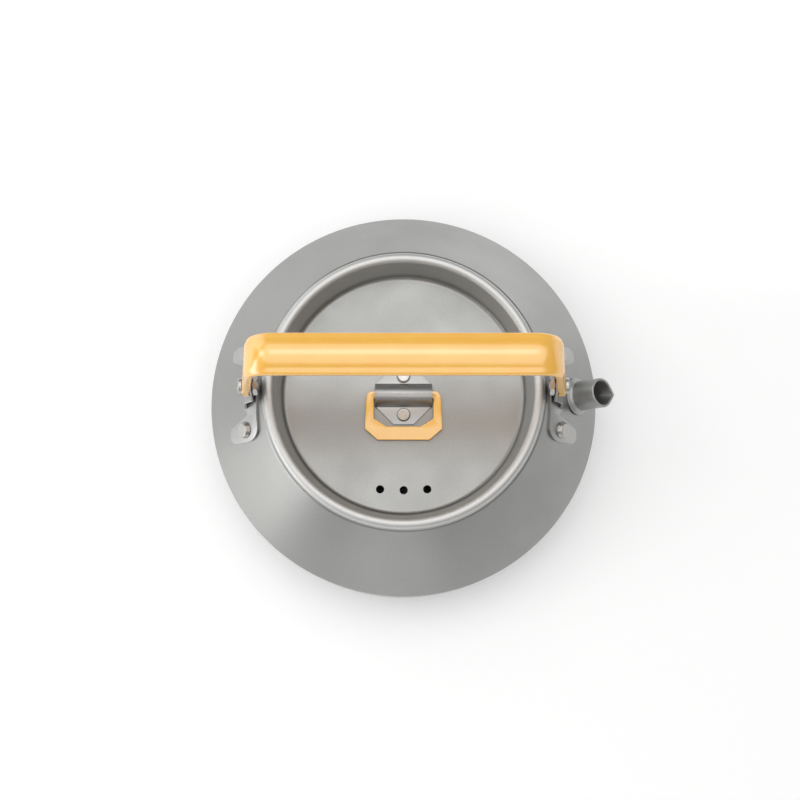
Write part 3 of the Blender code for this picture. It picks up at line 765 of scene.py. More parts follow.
@dataclass
class Spout:
    """Short beaked tube, square to the shoulder, with its weld collar."""

    finishes: Finishes
    pot: Pot
    diameter: float = 0.0130
    wall: float = 0.0011
    base_radius: float = 0.0775
    reach: float = 0.0134
    tail: float = 0.0030
    rim_round_share: float = 0.35
    slant: float = 0.0011
    beak: float = 0.0018
    beak_length: float = 0.0055
    beak_growth: float = 1.5
    ring_step: float = 0.0006
    collar_diameter: float = 0.0168
    collar_thickness: float = 0.0012
    collar_edge: float = 0.0005
    collar_edge_round: float = 0.0003
    weld_width: float = 0.0004
    weld_rise: float = 0.0008
    segments: int = 96

    @property
    def place(self) -> Matrix:
        """The frame at the spout's foot, with Z along its bore."""
        return self.pot.place_at(self.base_radius, 0.0)

    def sharpness(self, height: float) -> float:
        """How far the round tube has gone over to its beak, from 0 to 1."""
        share = (height - (self.reach - self.beak_length)) / self.beak_length
        return max(share, 0.0) ** self.beak_growth

    def moved(self, spot: Vector) -> Vector:
        """Carry a point of a plain tube to its place on the beaked one.

        Args:
            spot: The point, on a tube along Z.

        Returns:
            The point's new place.
        """
        radius, angle = hypot(spot.x, spot.y), atan2(spot.y, spot.x)
        share = self.sharpness(spot.z)
        tip = radius + self.beak * share
        tangent = acos(radius / tip)
        reach = radius / cos(tangent - abs(angle)) if abs(angle) < tangent else radius
        lift = self.slant * cos(angle) * share
        return Vector((reach * cos(angle), reach * sin(angle), spot.z + lift))

    def build(self) -> None:
        """Model and dress the tube and its collar."""
        outer, inner = self.diameter / 2, self.diameter / 2 - self.wall
        ease = self.wall * self.rim_round_share
        line = eased([
            (outer, -self.tail, 0.0), (outer, self.reach, ease), (inner, self.reach, ease),
            (inner, -self.tail, 0.0),
        ], steps=4, closed=True)
        bm = bmesh.new()
        edges = drawn_line(bm, [Vector((r, 0.0, z)) for r, z in line], closed=True)
        bmesh.ops.spin(bm, geom=bm.verts[:] + edges, cent=(0, 0, 0), axis=(0, 0, 1),
                       angle=2 * pi, steps=self.segments, use_merge=True)
        bmesh.ops.remove_doubles(bm, verts=bm.verts[:], dist=MERGE)
        sliced(bm, Vector((0.0, 0.0, 1.0)), self.reach - self.beak_length,
               self.reach - self.ring_step, self.ring_step)
        for vert in bm.verts:
            vert.co = self.moved(vert.co)
        bmesh.ops.recalc_face_normals(bm, faces=bm.faces[:])
        bmesh.ops.transform(bm, matrix=self.place, verts=bm.verts[:])
        dress(object_from(bm, "spout_beaked_tube"), self.finishes, Finish.TUBE, "pot",
              "spout_tube")
        self.build_collar()

    def build_collar(self) -> None:
        """Model and dress the collar round the spout's foot."""
        low = self.pot.contact
        inner, outer = self.diameter / 2 + low, self.collar_diameter / 2
        top = low + self.collar_thickness
        line = eased([
            (inner, low, 0.0), (outer, low, 0.0),
            (outer, low + self.collar_edge, self.collar_edge_round),
            (inner + self.weld_width, top, self.weld_rise), (inner, top + self.weld_rise, 0.0),
        ], steps=5, closed=True)
        collar = turned("spout_weld_collar", line, self.segments, closed=True, place=self.place)
        dress(collar, self.finishes, Finish.TUBE, "pot", "spout_collar")


# The handle and its mounts


@dataclass
class Rivet:
    """Rivet with a flat head and leaning flank outside and a closed tail inside.

    It holds down a stack of some thickness on a sheet that lies under it.
    """

    head: float
    height: float
    stack: float
    under: float
    shank: float = 0.0032
    tail: float = 0.0050
    tail_height: float = 0.0010
    tail_round: float = 0.0004
    flank_lean: float = 0.35
    crown_round_share: float = 0.3
    foot_round: float = 0.0001
    contact: float = 0.00005
    segments: int = 64

    def build(self, name: str, place: Matrix) -> bpy.types.Object:
        """Model the rivet.

        Args:
            name: The piece's name.
            place: Frame on the outer side of the sheet under the stack.

        Returns:
            The rivet.
        """
        seat = self.stack + 2 * self.contact
        top, low = seat + self.height, -self.under - self.contact
        end = low - self.tail_height
        flank = self.head / 2 - self.height * self.flank_lean
        line = eased([
            (0.0, top, 0.0), (flank, top, self.height * self.crown_round_share),
            (self.head / 2, seat, self.foot_round),
            (self.shank / 2, seat, 0.0), (self.shank / 2, low, 0.0), (self.tail / 2, low, 0.0),
            (self.tail / 2, end, self.tail_round), (0.0, end, 0.0),
        ], steps=6)
        return turned(name, line, self.segments, place=place)


@dataclass
class HandleMount:
    """One bracket with its rivets, pivot screw and nut."""

    finishes: Finishes
    pot: Pot
    side: Side
    pivot_height: float
    sheet: float = 0.0010
    inner_x: float = 0.0622
    waist_x: float = 0.0630
    notch_x: float = 0.0669
    fold_x: float = 0.0687
    outer_x: float = 0.0761
    half_length: float = 0.0217
    lobe_inner_round: float = 0.0048
    lobe_outer_round: float = 0.0034
    lobe_root_y: float = 0.0152
    lobe_root_round: float = 0.0024
    notch_y: float = 0.0102
    notch_round: float = 0.0009
    bend_reach: float = 0.020
    bend_step: float = 0.002
    edge_round: float = 0.0004
    ear_root_half: float = 0.0082
    ear_tip_radius: float = 0.0042
    ear_tip_from: float = 32.0
    ear_step: float = 0.0006
    ear_edge_round: float = 0.00025
    joggle_start: float = 0.0045
    joggle_below: float = 0.0049
    rivet_x: float = 0.0684
    rivet_y: float = 0.01645
    rivet_head: float = 0.0075
    rivet_height: float = 0.0020
    arm_outer_x: float = 0.0686
    arm_thickness: float = 0.0026
    screw_diameter: float = 0.0040
    screw_head: float = 0.0074
    screw_height: float = 0.0018
    screw_head_round: float = 0.0007
    screw_foot_round: float = 0.0001
    screw_tip_round: float = 0.0003
    socket_width: float = 0.0025
    socket_depth: float = 0.0010
    nut_width: float = 0.0070
    nut_thickness: float = 0.0022
    nut_chamfer: float = 0.0007
    nut_face_inset: float = 0.0001
    nut_corner_margin: float = 0.0002
    segments: int = 64

    @property
    def ear_outer_x(self) -> float:
        """Outer side of the ear, against the handle's arm."""
        return self.arm_outer_x - self.arm_thickness - self.pot.gap

    @property
    def pivot(self) -> Matrix:
        """Frame on the pivot's axis, with Z pointing outwards."""
        lifted = Matrix.Translation((0.0, 0.0, self.pivot_height))
        return self.side.turn @ lifted @ Matrix.Rotation(pi / 2, 4, "Y")

    def build(self) -> None:
        """Model and dress the mount's five pieces."""
        self.build_bracket()
        rivet = Rivet(self.rivet_head, self.rivet_height, self.sheet, self.pot.sheet)
        for end, sign in (("front", -1), ("back", 1)):
            place = self.pot.place_at(self.side.value * self.rivet_x, sign * self.rivet_y)
            node = f"bracket_rivet_{self.side.word}_{end}"
            dress(rivet.build(node + "_set", place), self.finishes, Finish.FASTENER, "pot", node)
        self.build_screw()
        self.build_nut()

    def plan(self) -> list[Point]:
        """Outline of the bracket from above, on the right-hand side."""
        half = [(self.waist_x, -self.notch_y, 0.0),
                (self.inner_x, -self.half_length, self.lobe_inner_round),
                (self.outer_x, -self.half_length, self.lobe_outer_round),
                (self.outer_x, -self.lobe_root_y, self.lobe_root_round),
                (self.notch_x, -self.notch_y, self.notch_round),
                (self.fold_x, -self.ear_root_half, 0.0)]
        return eased(half + [(x, -y, radius) for x, y, radius in half[::-1]], 8, closed=True)

    def lie_on_shoulder(self, spot: Vector) -> Vector:
        """Drop a plan point onto the shoulder, just clear of it."""
        height = self.pot.height_at(hypot(spot.x, spot.y))
        return Vector((spot.x, spot.y, height + self.pot.contact / cos(self.pot.slope)))

    def outwards(self, spot: Vector) -> Vector:
        """A step through the bracket's sheet, square to the shoulder."""
        flat = Vector((spot.x, spot.y, 0.0)).normalized() * sin(self.pot.slope)
        return (flat + Vector((0.0, 0.0, cos(self.pot.slope)))) * self.sheet

    def build_bracket(self) -> None:
        """Strip pressed to the cone with an ear folded up to the pivot."""
        bm = bmesh.new()
        bm.faces.new([bm.verts.new((x, y, 0.0)) for x, y in self.plan()])
        sliced(bm, Vector((0.0, 1.0, 0.0)), -self.bend_reach, self.bend_reach, self.bend_step)
        for vert in bm.verts:
            vert.co = self.lie_on_shoulder(vert.co)
        extruded(bm, bm.faces[:], self.outwards)
        ear = self.ear()
        mesh = bpy.data.meshes.new("ear")
        ear.to_mesh(mesh)
        ear.free()
        ease_edges(bm, self.edge_round)
        bm.from_mesh(mesh)
        bpy.data.meshes.remove(mesh)
        bmesh.ops.transform(bm, matrix=self.side.turn, verts=bm.verts[:])
        piece = object_from(bm, f"handle_bracket_{self.side.word}_pressed")
        dress(piece, self.finishes, Finish.STRIP, "pot", f"handle_bracket_{self.side.word}")

    def joggled(self, height: float) -> float:
        """Place along X of the ear's outer side at a height, through its joggle."""
        foot = self.pot.height_at(self.fold_x) + self.sheet + self.joggle_start
        top = self.pivot_height - self.joggle_below
        share = min(max((height - foot) / (top - foot), 0.0), 1.0)
        start = self.fold_x + self.sheet / 2
        return start + (self.ear_outer_x - start) * share

    def ear(self) -> bmesh.types.BMesh:
        """Mesh of the ear, from the fold up to its round tip."""
        foot = self.pot.height_at(self.fold_x + self.sheet / 2) + self.pot.contact
        tip = arc((0.0, self.pivot_height), self.ear_tip_radius, self.ear_tip_from,
                  180.0 - self.ear_tip_from, 20)
        outline = [(self.ear_root_half, foot), *tip, (-self.ear_root_half, foot)]
        bm = bmesh.new()
        bm.faces.new([bm.verts.new((0.0, y, z)) for y, z in outline])
        sliced(bm, Vector((0.0, 0.0, 1.0)), foot, self.pivot_height, self.ear_step)
        for vert in bm.verts:
            vert.co.x = self.joggled(vert.co.z)
        extruded(bm, bm.faces[:], lambda _: Vector((-self.sheet, 0.0, 0.0)))
        ease_edges(bm, self.ear_edge_round)
        return bm

    def build_screw(self) -> None:
        """Model and dress the pivot screw with its hex socket."""
        gap = self.pot.gap
        seat = self.arm_outer_x + gap
        top = seat + self.screw_height
        end = self.ear_outer_x - self.sheet - gap - self.nut_thickness - gap
        line = eased([
            (0.0, top, 0.0), (self.screw_head / 2, top, self.screw_head_round),
            (self.screw_head / 2, seat, self.screw_foot_round),
            (self.screw_diameter / 2, seat, 0.0),
            (self.screw_diameter / 2, end, self.screw_tip_round),
            (0.0, end, 0.0),
        ], steps=6)
        name = f"pivot_screw_{self.side.word}"
        screw = turned(name + "_fine", line, self.segments, place=self.pivot)
        drilled(screw, [rod(self.socket_width / sqrt(3), top - self.socket_depth, top + OVERRUN, 6,
                            self.pivot)])
        dress(screw, self.finishes, Finish.FASTENER, "pot", name)

    def build_nut(self) -> None:
        """Model and dress the chamfered hex nut behind the ear."""
        high = self.ear_outer_x - self.sheet - self.pot.gap
        low = high - self.nut_thickness
        corner, flat = self.nut_width / sqrt(3), self.nut_width / 2
        nut = rod(corner, low, high, 6, self.pivot)
        name = f"pivot_nut_{self.side.word}"
        nut.name = name + "_fine"
        face, rim = flat - self.nut_face_inset, corner + self.nut_corner_margin
        line = [(0.0, low), (face, low), (rim, low + self.nut_chamfer),
                (rim, high - self.nut_chamfer), (face, high), (0.0, high)]
        drilled(nut, [turned("chamfer", line, self.segments, place=self.pivot)], "INTERSECT")
        drilled(nut, [rod(self.screw_diameter / 2 + self.pot.gap, low - OVERRUN, high + OVERRUN,
                          HOLE_SEGMENTS, self.pivot)])
        dress(nut, self.finishes, Finish.FASTENER, "pot", name)


@dataclass(frozen=True)
class Station:
    """A place on the strap's outer face, in X and Z, with the strap's section there."""

    spot: Point
    out: Point
    half: float
    crown: float = 0.0
    flatness: float = 0.0

    @property
    def mirrored(self) -> Station:
        """The same place on the strap's other half."""
        return replace(self, spot=(-self.spot[0], self.spot[1]), out=(-self.out[0], self.out[1]))


@dataclass
class BailHandle:
    """One coated strap: flat pivoted ends, leaning arms, round bends and a crowned grip."""

    finishes: Finishes
    pivot_height: float
    pivot_x: float = 0.0686
    grip_half_length: float = 0.0597
    grip_height: float = 0.1260
    grip_width: float = 0.0162
    grip_crown: float = 0.0020
    crown_share: float = 0.70
    crown_fade: float = 0.8
    crown_steps: int = 12
    bend_radius: float = 0.0115
    arm_top_width: float = 0.0154
    arm_end_width: float = 0.0088
    end_thickness: float = 0.0026
    flat_length: float = 0.0045
    opening_length: float = 0.0070
    end_edge_share: float = 0.06
    sheet: float = 0.0012
    lip: float = 0.0030
    lip_shares: tuple[Point, ...] = ((1.0, 1.0), (1.0, 0.75), (1.0, 0.5), (0.99, 0.42),
                                     (0.965, 0.35))
    droop: float = 0.0008
    droop_shares: tuple[float, ...] = (0.93, 0.89, 0.84, 0.78, 0.73)
    bore_radius: float = 0.0023
    steps: int = 32

    def stations(self) -> list[Station]:
        """Places along the strap's outer face, from one end to the other."""
        knee = Vector((self.pivot_x, self.pivot_height + self.flat_length))
        corner = Vector((self.grip_half_length, self.grip_height))
        lean = atan2(knee.x - corner.x, corner.y - knee.y)
        up, out = Vector((-sin(lean), cos(lean))), Vector((cos(lean), sin(lean)))
        bend_start = corner - up * self.bend_radius * tan((pi / 2 - lean) / 2)
        centre = bend_start - out * self.bend_radius
        half = [*self.end_stations(), *self.arm_stations(knee, bend_start, lean),
                *self.bend_stations(centre, lean), *self.grip_stations(centre.x)]
        return half + [station.mirrored for station in half[-2::-1]]

    def end_stations(self) -> list[Station]:
        """Places on the flat end: round below the pivot and straight above it."""
        end_half = self.arm_end_width / 2
        # Degrees round the pivot, from just beside the end's lowest point up to its own height
        rows = [(end_half * sin(radians(angle)), end_half * cos(radians(angle)))
                for angle in range(-84, 0, 6)]
        rows += [(self.flat_length * share, end_half) for share in (0.0, 0.25, 0.5, 0.75)]
        return [Station((self.pivot_x, self.pivot_height + rise), (1.0, 0.0), half, flatness=1.0)
                for rise, half in rows]

    def arm_stations(self, knee: Vector, bend_start: Vector, lean: float) -> list[Station]:
        """Places on the leaning arm, where the flat end opens into the channel.

        Args:
            knee: Where the arm leaves the flat end, in X and Z.
            bend_start: Where the arm goes over into the bend.
            lean: How far the arm leans inwards, in radians.

        Returns:
            The places, upwards.
        """
        up, out = Vector((-sin(lean), cos(lean))), Vector((cos(lean), sin(lean)))
        arm = (bend_start - knee).length
        end_half, top_half = self.arm_end_width / 2, self.arm_top_width / 2
        rows = []
        for share in (i / self.steps for i in range(self.steps + 1)):
            half = end_half + (top_half - end_half) * share
            flatness = max(1 - arm * share / self.opening_length, 0.0)
            rows.append(Station(tuple(knee + up * arm * share), tuple(out), half,
                                flatness=flatness))
        return rows

    def bend_stations(self, centre: Vector, lean: float) -> list[Station]:
        """Places round the bend, where the strap widens and its crown grows.

        Args:
            centre: The bend's centre, in X and Z.
            lean: How far the arm leans inwards, in radians.

        Returns:
            The places, from the arm to the grip.
        """
        top_half, grip_half = self.arm_top_width / 2, self.grip_width / 2
        rows = []
        for share in (i / self.steps for i in range(1, self.steps + 1)):
            angle = lean + (pi / 2 - lean) * share
            normal = Vector((cos(angle), sin(angle)))
            half = top_half + (grip_half - top_half) * share
            grown = max(1 - (1 - share) / self.crown_fade, 0.0)
            crown = self.grip_crown * grown * grown * (3 - 2 * grown)
            rows.append(Station(tuple(centre + normal * self.bend_radius), tuple(normal), half,
                                crown))
        return rows

    def grip_stations(self, bend_x: float) -> list[Station]:
        """Places along one half of the grip, up to its middle.

        Args:
            bend_x: Where the grip starts, along X.

        Returns:
            The places, inwards.
        """
        # The first stands close to the bend, so that the grip's shading starts flat
        return [Station((bend_x * share, self.grip_height), (0.0, 1.0), self.grip_width / 2,
                        self.grip_crown)
                for share in (0.97, 0.75, 0.5, 0.25, 0.0)]

    def section(self, half: float, crown: float, flatness: float) -> list[Point]:
        """Closed section of the strap: a crowned channel, or a flat plate at its ends.

        Args:
            half: Half of its width.
            crown: Rise of its middle.
            flatness: 1 for the solid end plate and 0 for the channel.

        Returns:
            Points of the section, as place across and outwards.
        """
        # The turned-down lip, the drooping flange beside the crown, and the crown itself
        outer = [(-half * across, -self.lip * down) for across, down in self.lip_shares]
        for share in self.droop_shares:
            outer.append((-half * share, -self.droop * (share - self.crown_share)
                          / (self.droop_shares[0] - self.crown_share)))
        for share in (step / self.crown_steps for step in range(self.crown_steps, -1, -1)):
            outer.append((-half * self.crown_share * share, crown * (1 - share * share)))
        outer += [(-u, v) for u, v in outer[-2::-1]]
        inner = []
        for u, v in outer[::-1]:
            inner_u = u * (1 - (1 - flatness) * self.sheet / half - flatness * self.end_edge_share)
            channel_v = v if v <= -self.lip else v - self.sheet
            inner.append((inner_u, channel_v * (1 - flatness) - self.end_thickness * flatness))
        flat_outer = [(u, v * (1 - flatness) - self.end_thickness * flatness * (v <= -self.lip))
                      for u, v in outer]
        return flat_outer + inner

    def build(self) -> None:
        """Model and dress the strap."""
        bm = bmesh.new()
        loops = []
        for station in self.stations():
            (x, z), (out_x, out_z) = station.spot, station.out
            section = self.section(station.half, station.crown, station.flatness)
            points = [Vector((x + out_x * out, across, z + out_z * out)) for across, out in section]
            loops.append(drawn_line(bm, points, closed=True))
        for lower, upper in zip(loops, loops[1:]):
            bmesh.ops.bridge_loops(bm, edges=lower + upper)
        for end in (loops[0], loops[-1]):
            bmesh.ops.contextual_create(bm, geom=end)
        bmesh.ops.recalc_face_normals(bm, faces=bm.faces[:])
        piece = object_from(bm, "bail_handle_strap")
        across = Matrix.Translation((0.0, 0.0, self.pivot_height)) @ Matrix.Rotation(pi / 2, 4, "Y")
        reach = self.pivot_x + CUT_REACH
        drilled(piece, [rod(self.bore_radius, -reach, reach, HOLE_SEGMENTS, across)])
        dress(piece, self.finishes, Finish.COAT, "handle", "bail_handle")


# The lid


@dataclass
class Lid:
    """Recessed lid with its rolled bead and vents, and the saddle that holds the ring."""

    finishes: Finishes
    sheet: float = 0.0008
    crest_radius: float = 0.0583
    bead_radius: float = 0.0024
    bead_height: float = 0.0607
    recess_depth: float = 0.0147
    draft: float = 0.0022
    wall_lean: float = 8.0
    bead_end: float = -5.0
    fillet: float = 0.0020
    fillet_support: float = 0.0004
    vent_diameter: float = 0.0036
    vent_pitch: float = 0.01025
    vent_offset: float = 0.0424
    vent_bow: float = 0.0004
    ring_y: float = -0.0010
    ring_above_floor: float = 0.0028
    saddle_sheet: float = 0.0010
    saddle_half_width: float = 0.01255
    saddle_inner_radius: float = 0.0025
    saddle_foot_y: float = 0.0053
    saddle_edge_round: float = 0.00018
    saddle_trim_below: float = 0.002
    saddle_trim_above: float = 0.012
    tab_length: float = 0.0129
    tab_root_half: float = 0.0119
    tab_tip_half: float = 0.00445
    rivet_spacing: float = 0.01734
    rivet_head: float = 0.0062
    rivet_height: float = 0.0014
    gap: float = 0.0003
    contact: float = 0.00005
    segments: int = 256

    @property
    def floor_height(self) -> float:
        """Height of the recess floor's top side."""
        return self.bead_height + self.bead_radius - self.recess_depth

    @property
    def ring_height(self) -> float:
        """Height of the ring's axis."""
        return self.floor_height + self.ring_above_floor

    def build(self) -> None:
        """Model and dress the lid's four pieces."""
        self.build_pan()
        self.build_saddle()
        rivet = Rivet(self.rivet_head, self.rivet_height, self.saddle_sheet, self.sheet)
        for end, sign in (("front", -1), ("back", 1)):
            place = Matrix.Translation((0.0, self.ring_y + sign * self.rivet_spacing / 2,
                                        self.floor_height))
            node = f"lid_rivet_{end}"
            dress(rivet.build(node + "_set", place), self.finishes, Finish.FASTENER, "lid", node)

    def build_pan(self) -> None:
        """Dished sheet whose rim is rolled over into a bead."""
        foot = self.crest_radius - self.bead_radius - self.draft
        centre = (foot - self.fillet, self.floor_height + self.fillet)
        line = [(0.0, self.floor_height), (centre[0] - self.fillet_support, self.floor_height)]
        line += arc(centre, self.fillet, -90, -self.wall_lean, 10)
        line += arc((self.crest_radius, self.bead_height), self.bead_radius,
                    180 - self.wall_lean, self.bead_end, 24)
        pan = turned("lid_dished_pan", line, self.segments, self.sheet)
        vents = []
        for step in (-1, 0, 1):
            place = Matrix.Translation((step * self.vent_pitch,
                                        -self.vent_offset - self.vent_bow * (1 - abs(step)),
                                        self.floor_height))
            vents.append(rod(self.vent_diameter / 2, -CUT_REACH, CUT_REACH, HOLE_SEGMENTS, place))
        drilled(pan, vents)
        dress(pan, self.finishes, Finish.LID, "lid", "lid_pan")

    def saddle_line(self) -> list[Point]:
        """The saddle's upper side from tab to tab over the ring's bar, as Y and Z."""
        base = self.floor_height + self.contact + self.saddle_sheet
        crown = self.saddle_inner_radius + self.saddle_sheet
        slope = atan2(self.ring_height - base, self.saddle_foot_y)
        reach = hypot(self.saddle_foot_y, self.ring_height - base)
        start = degrees(acos(crown / reach) - slope)
        half = [(self.tab_length, base), (self.saddle_foot_y, base),
                *arc((0.0, self.ring_height), crown, start, 90, 12)]
        return half + [(-y, z) for y, z in half[-2::-1]]

    def saddle_plan(self) -> list[Point]:
        """The saddle's outline from above, round its two tabs."""
        quarter = [(self.saddle_half_width, self.saddle_foot_y),
                   (self.tab_root_half, self.saddle_foot_y), (self.tab_tip_half, self.tab_length)]
        half = quarter + [(-x, y) for x, y in quarter[::-1]]
        return [(x, y + self.ring_y) for x, y in half + [(-x, -y) for x, y in half]]

    def build_saddle(self) -> None:
        """Folded strap with a round crown over the ring's bar and a tab at each side."""
        bm = bmesh.new()
        edges = drawn_line(bm, [Vector((0.0, y, z)) for y, z in self.saddle_line()])
        grown = bmesh.ops.extrude_edge_only(bm, edges=edges)
        new = [item for item in grown["geom"] if isinstance(item, bmesh.types.BMVert)]
        bmesh.ops.translate(bm, verts=new, vec=(2 * self.saddle_half_width, 0.0, 0.0))
        bmesh.ops.translate(bm, verts=bm.verts[:], vec=(-self.saddle_half_width, 0.0, 0.0))
        bmesh.ops.recalc_face_normals(bm, faces=bm.faces[:])
        top = max(bm.faces, key=lambda face: face.calc_center_median().z)
        if top.normal.z < 0:
            bmesh.ops.reverse_faces(bm, faces=bm.faces[:])
        bmesh.ops.solidify(bm, geom=bm.faces[:], thickness=self.saddle_sheet)
        bmesh.ops.translate(bm, verts=bm.verts[:], vec=(0.0, self.ring_y, 0.0))
        piece = object_from(bm, "ring_saddle_folded")
        shape = plate(self.saddle_plan(), self.floor_height - self.saddle_trim_below,
                      self.floor_height + self.saddle_trim_above)
        drilled(piece, [object_from(shape, "saddle_plan")], "INTERSECT")
        eased_in_place(piece, self.saddle_edge_round, 2)
        dress(piece, self.finishes, Finish.STRIP, "lid", "ring_saddle")


@dataclass
class LiftingRing:
    """Flat coated ring that hangs from the lid's saddle."""

    finishes: Finishes
    lid: Lid
    thickness: float = 0.0020
    bar_width: float = 0.0032
    top_half_width: float = 0.0162
    half_width: float = 0.0170
    reach: float = 0.0200
    chamfer_start: float = 0.0151
    tip_half_width: float = 0.01135
    opening_half_width: float = 0.01305
    opening_reach: float = 0.0141
    opening_chamfer_start: float = 0.0106
    opening_tip_half_width: float = 0.0074
    root_round: float = 0.0030
    tip_round: float = 0.0012
    opening_root_round: float = 0.0006
    opening_tip_round: float = 0.0008
    edge_round: float = 0.0004

    def build(self) -> None:
        """Model and dress the ring."""
        bar = self.bar_width / 2
        half = [(self.top_half_width, bar, self.root_round),
                (self.half_width, -self.chamfer_start, self.tip_round),
                (self.tip_half_width, -self.reach, self.tip_round)]
        outline = eased(half + [(-x, y, r) for x, y, r in half[::-1]], 8, closed=True)
        inside = [(self.opening_half_width, -bar, self.opening_root_round),
                  (self.opening_half_width, -self.opening_chamfer_start, self.opening_tip_round),
                  (self.opening_tip_half_width, -self.opening_reach, self.opening_tip_round)]
        window = eased(inside + [(-x, y, r) for x, y, r in inside[::-1]], 6, closed=True)
        piece = object_from(plate(outline, -self.thickness / 2, self.thickness / 2),
                            "lifting_ring_coated")
        drilled(piece, [object_from(plate(window, -CUT_REACH, CUT_REACH), "ring_window")])
        eased_in_place(piece, self.edge_round, 4)
        drop = self.lid.ring_above_floor - self.thickness / 2 - self.lid.gap
        place = Matrix.Translation((0.0, self.lid.ring_y, self.lid.ring_height))
        place = place @ Matrix.Rotation(atan2(drop, self.reach), 4, "X")
        piece.data.transform(place)
        dress(piece, self.finishes, Finish.COAT, "ring", "lifting_ring")


# The studio


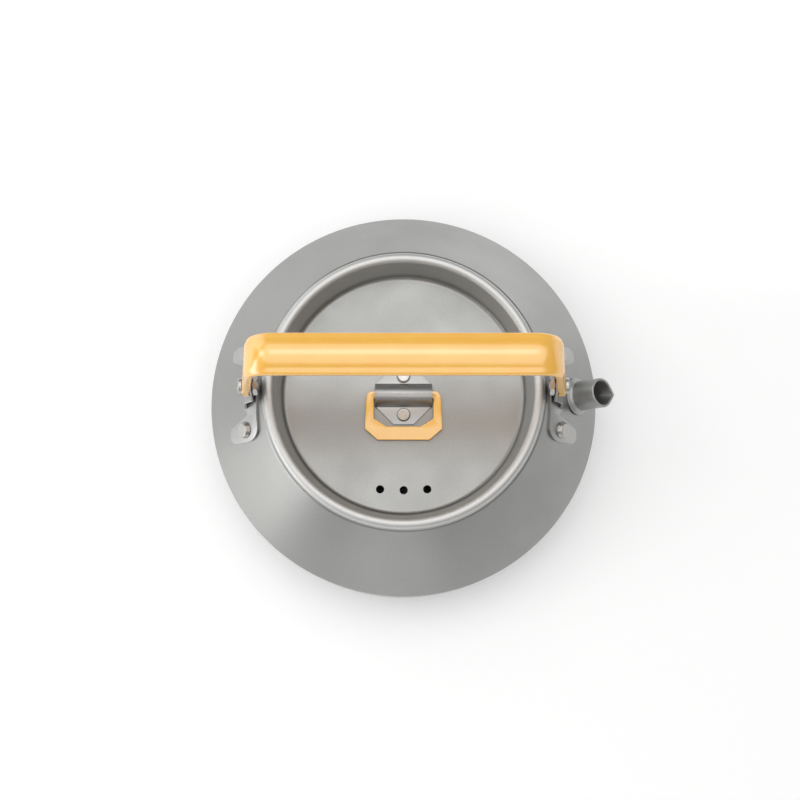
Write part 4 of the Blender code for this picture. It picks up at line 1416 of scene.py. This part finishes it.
@dataclass
class Studio:
    """Plain pale floor, soft light and the camera."""

    target: tuple[float, float, float] = (-0.001584, 0.000750, 0.030)
    distance: float = 0.50942
    elevation: float = 78.957
    lens: float = 50.0
    sensor: float = 36.0
    floor_size: float = 8.0
    floor_roughness: float = 0.9
    floor_gloss: float = 0.1
    floor_fibre: float = 0.003
    floor_lift: float = 0.13
    room_light: float = 0.29
    # Painted light: a soft glow added to the floor's emission, which the camera and the metal see
    pool_centre: tuple[float, float, float] = (0.18, 0.24, 0.0)
    pool_radius: float = 0.20
    pool_light: float = 0.6

    def build(self) -> None:
        """Set up the camera, the floor and the light."""
        self.build_camera()
        self.build_floor()
        self.build_world()
        self.softbox("overhead_softbox", bearing=70.0, distance=0.12, height=1.5, width=3.0,
                     tall=3.0, radiance=0.93)
        self.softbox("overhead_key", bearing=92.0, distance=0.30, height=1.45, width=0.75,
                     tall=0.6, radiance=1.10)
        self.softbox("high_left_panel", bearing=170.0, distance=1.1, height=0.9, width=0.6,
                     tall=0.5, radiance=2.0)
        self.softbox("front_left_panel", bearing=203.0, distance=0.9, height=0.20, width=0.6,
                     tall=0.4, radiance=2.6)
        self.softbox("back_left_panel", bearing=140.0, distance=0.9, height=0.25, width=0.6,
                     tall=0.5, radiance=0.9)
        self.softbox("front_panel", bearing=264.0, distance=0.9, height=0.20, width=0.6,
                     tall=0.4, radiance=0.5)
        bpy.context.scene.view_settings.view_transform = "Standard"

    def build_camera(self) -> None:
        """Stand the camera at the photograph's angle."""
        camera = bpy.data.cameras.new("camera")
        camera.lens, camera.sensor_width = self.lens, self.sensor
        camera.clip_start = 0.01
        stand = bpy.data.objects.new("camera", camera)
        tilt = radians(self.elevation)
        away = Vector((0.0, -cos(tilt), sin(tilt))) * self.distance
        stand.location = Vector(self.target) + away
        stand.rotation_euler = (pi / 2 - tilt, 0.0, 0.0)
        bpy.context.scene.collection.objects.link(stand)
        bpy.context.scene.camera = stand

    def build_floor(self) -> None:
        """Lay the pale floor, which the camera and the metal see as white outside the shadow."""
        bm = bmesh.new()
        bmesh.ops.create_grid(bm, x_segments=1, y_segments=1, size=self.floor_size / 2)
        floor = object_from(bm, "pale_floor")
        material, shader = new_material("white_paper_floor")
        tree = material.node_tree
        shader.inputs["Roughness"].default_value = self.floor_roughness
        shader.inputs["Specular IOR Level"].default_value = self.floor_gloss
        fibre = noise(tree, self.floor_fibre, 2.0)
        tint = tinted(tree, spread(tree, fibre, 0.0, 1.0), "f3f3f3", "f5f5f5")
        tree.links.new(tint, shader.inputs["Base Color"])
        glow = add_node(tree, "Math", {0: self.pool(tree), 1: self.floor_lift}, operation="ADD")
        lift = add_node(tree, "Math", {0: self.seen(tree), 1: glow.outputs[0]},
                        operation="MULTIPLY")
        tree.links.new(lift.outputs[0], shader.inputs["Emission Strength"])
        shader.inputs["Emission Color"].default_value = (1.0, 1.0, 1.0, 1.0)
        floor.data.materials.append(material)

    def pool(self, tree: bpy.types.NodeTree) -> bpy.types.NodeSocket:
        """Soft pool of light painted into the floor's glow behind the pot's right side, where no
        lamp stands.

        Args:
            tree: The node tree to add to.

        Returns:
            The pool's brightness.
        """
        place = add_node(tree, "TexCoord").outputs["Object"]
        away = add_node(tree, "VectorMath", {0: place, 1: self.pool_centre}, operation="DISTANCE")
        fade = add_node(tree, "MapRange", {
            "Value": away.outputs["Value"], "From Min": 0.0, "From Max": self.pool_radius,
            "To Min": self.pool_light, "To Max": 0.0}, interpolation_type="SMOOTHSTEP")
        return fade.outputs["Result"]

    def seen(self, tree: bpy.types.NodeTree) -> bpy.types.NodeSocket:
        """1 for rays from the camera, off gloss and through clear pieces.

        Args:
            tree: The node tree to add to.

        Returns:
            The value's socket.
        """
        path = add_node(tree, "LightPath")
        first = add_node(tree, "Math", {0: path.outputs["Is Camera Ray"],
                                        1: path.outputs["Is Glossy Ray"]}, operation="MAXIMUM")
        return add_node(tree, "Math", {0: first.outputs[0],
                                       1: path.outputs["Is Transmission Ray"]},
                        operation="MAXIMUM").outputs[0]

    def build_world(self) -> None:
        """Give the room its even light."""
        world = bpy.data.worlds.new("studio")
        bpy.context.scene.world = world
        world.use_nodes = True
        background = world.node_tree.nodes["Background"]
        background.inputs["Color"].default_value = (1.0, 1.0, 1.0, 1.0)
        background.inputs["Strength"].default_value = self.room_light

    def softbox(self, name: str, bearing: float, distance: float, height: float, width: float,
                tall: float, radiance: float) -> None:
        """Stand a soft rectangular light round the object, or hang it overhead, facing it.

        Args:
            name: The light's name.
            bearing: Direction it stands in, in degrees from +X towards +Y.
            distance: Distance of its middle from the axis.
            height: Height of its middle.
            width: Width of its panel.
            tall: Height of its panel.
            radiance: How bright its face is, where 1 is white.
        """
        lamp = bpy.data.lights.new(name, "AREA")
        lamp.shape, lamp.size, lamp.size_y = "RECTANGLE", width, tall
        lamp.energy = radiance * width * tall * pi
        stand = bpy.data.objects.new(name, lamp)
        turn = radians(bearing)
        stand.location = (distance * cos(turn), distance * sin(turn), height)
        stand.rotation_euler = (-stand.location).to_track_quat("-Z", "Y").to_euler()
        bpy.context.scene.collection.objects.link(stand)


def main() -> None:
    """Build the teapot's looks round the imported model, and the studio."""
    logging.basicConfig(level=logging.INFO, format="%(message)s")
    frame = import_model()
    joints = {joint["name"]: joint for joint in frame["joints"]}
    finishes = {finish: recipe.build() for finish, recipe in RECIPES.items()}
    pot = Pot(finishes)
    spout = Spout(finishes, pot)
    pot.build(spout.place, spout.diameter / 2 + pot.gap)
    spout.build()
    pivot_height = joints["handle_swing"]["pos_m"][2]
    for side in Side:
        HandleMount(finishes, pot, side, pivot_height).build()
    BailHandle(finishes, pivot_height).build()
    lid = Lid(finishes)
    lid.build()
    LiftingRing(finishes, lid).build()
    Studio().build()
    LOG.info("%d joints, %d nodes", len(joints), len(frame["nodes"]))


if __name__ == "__main__":
    main()
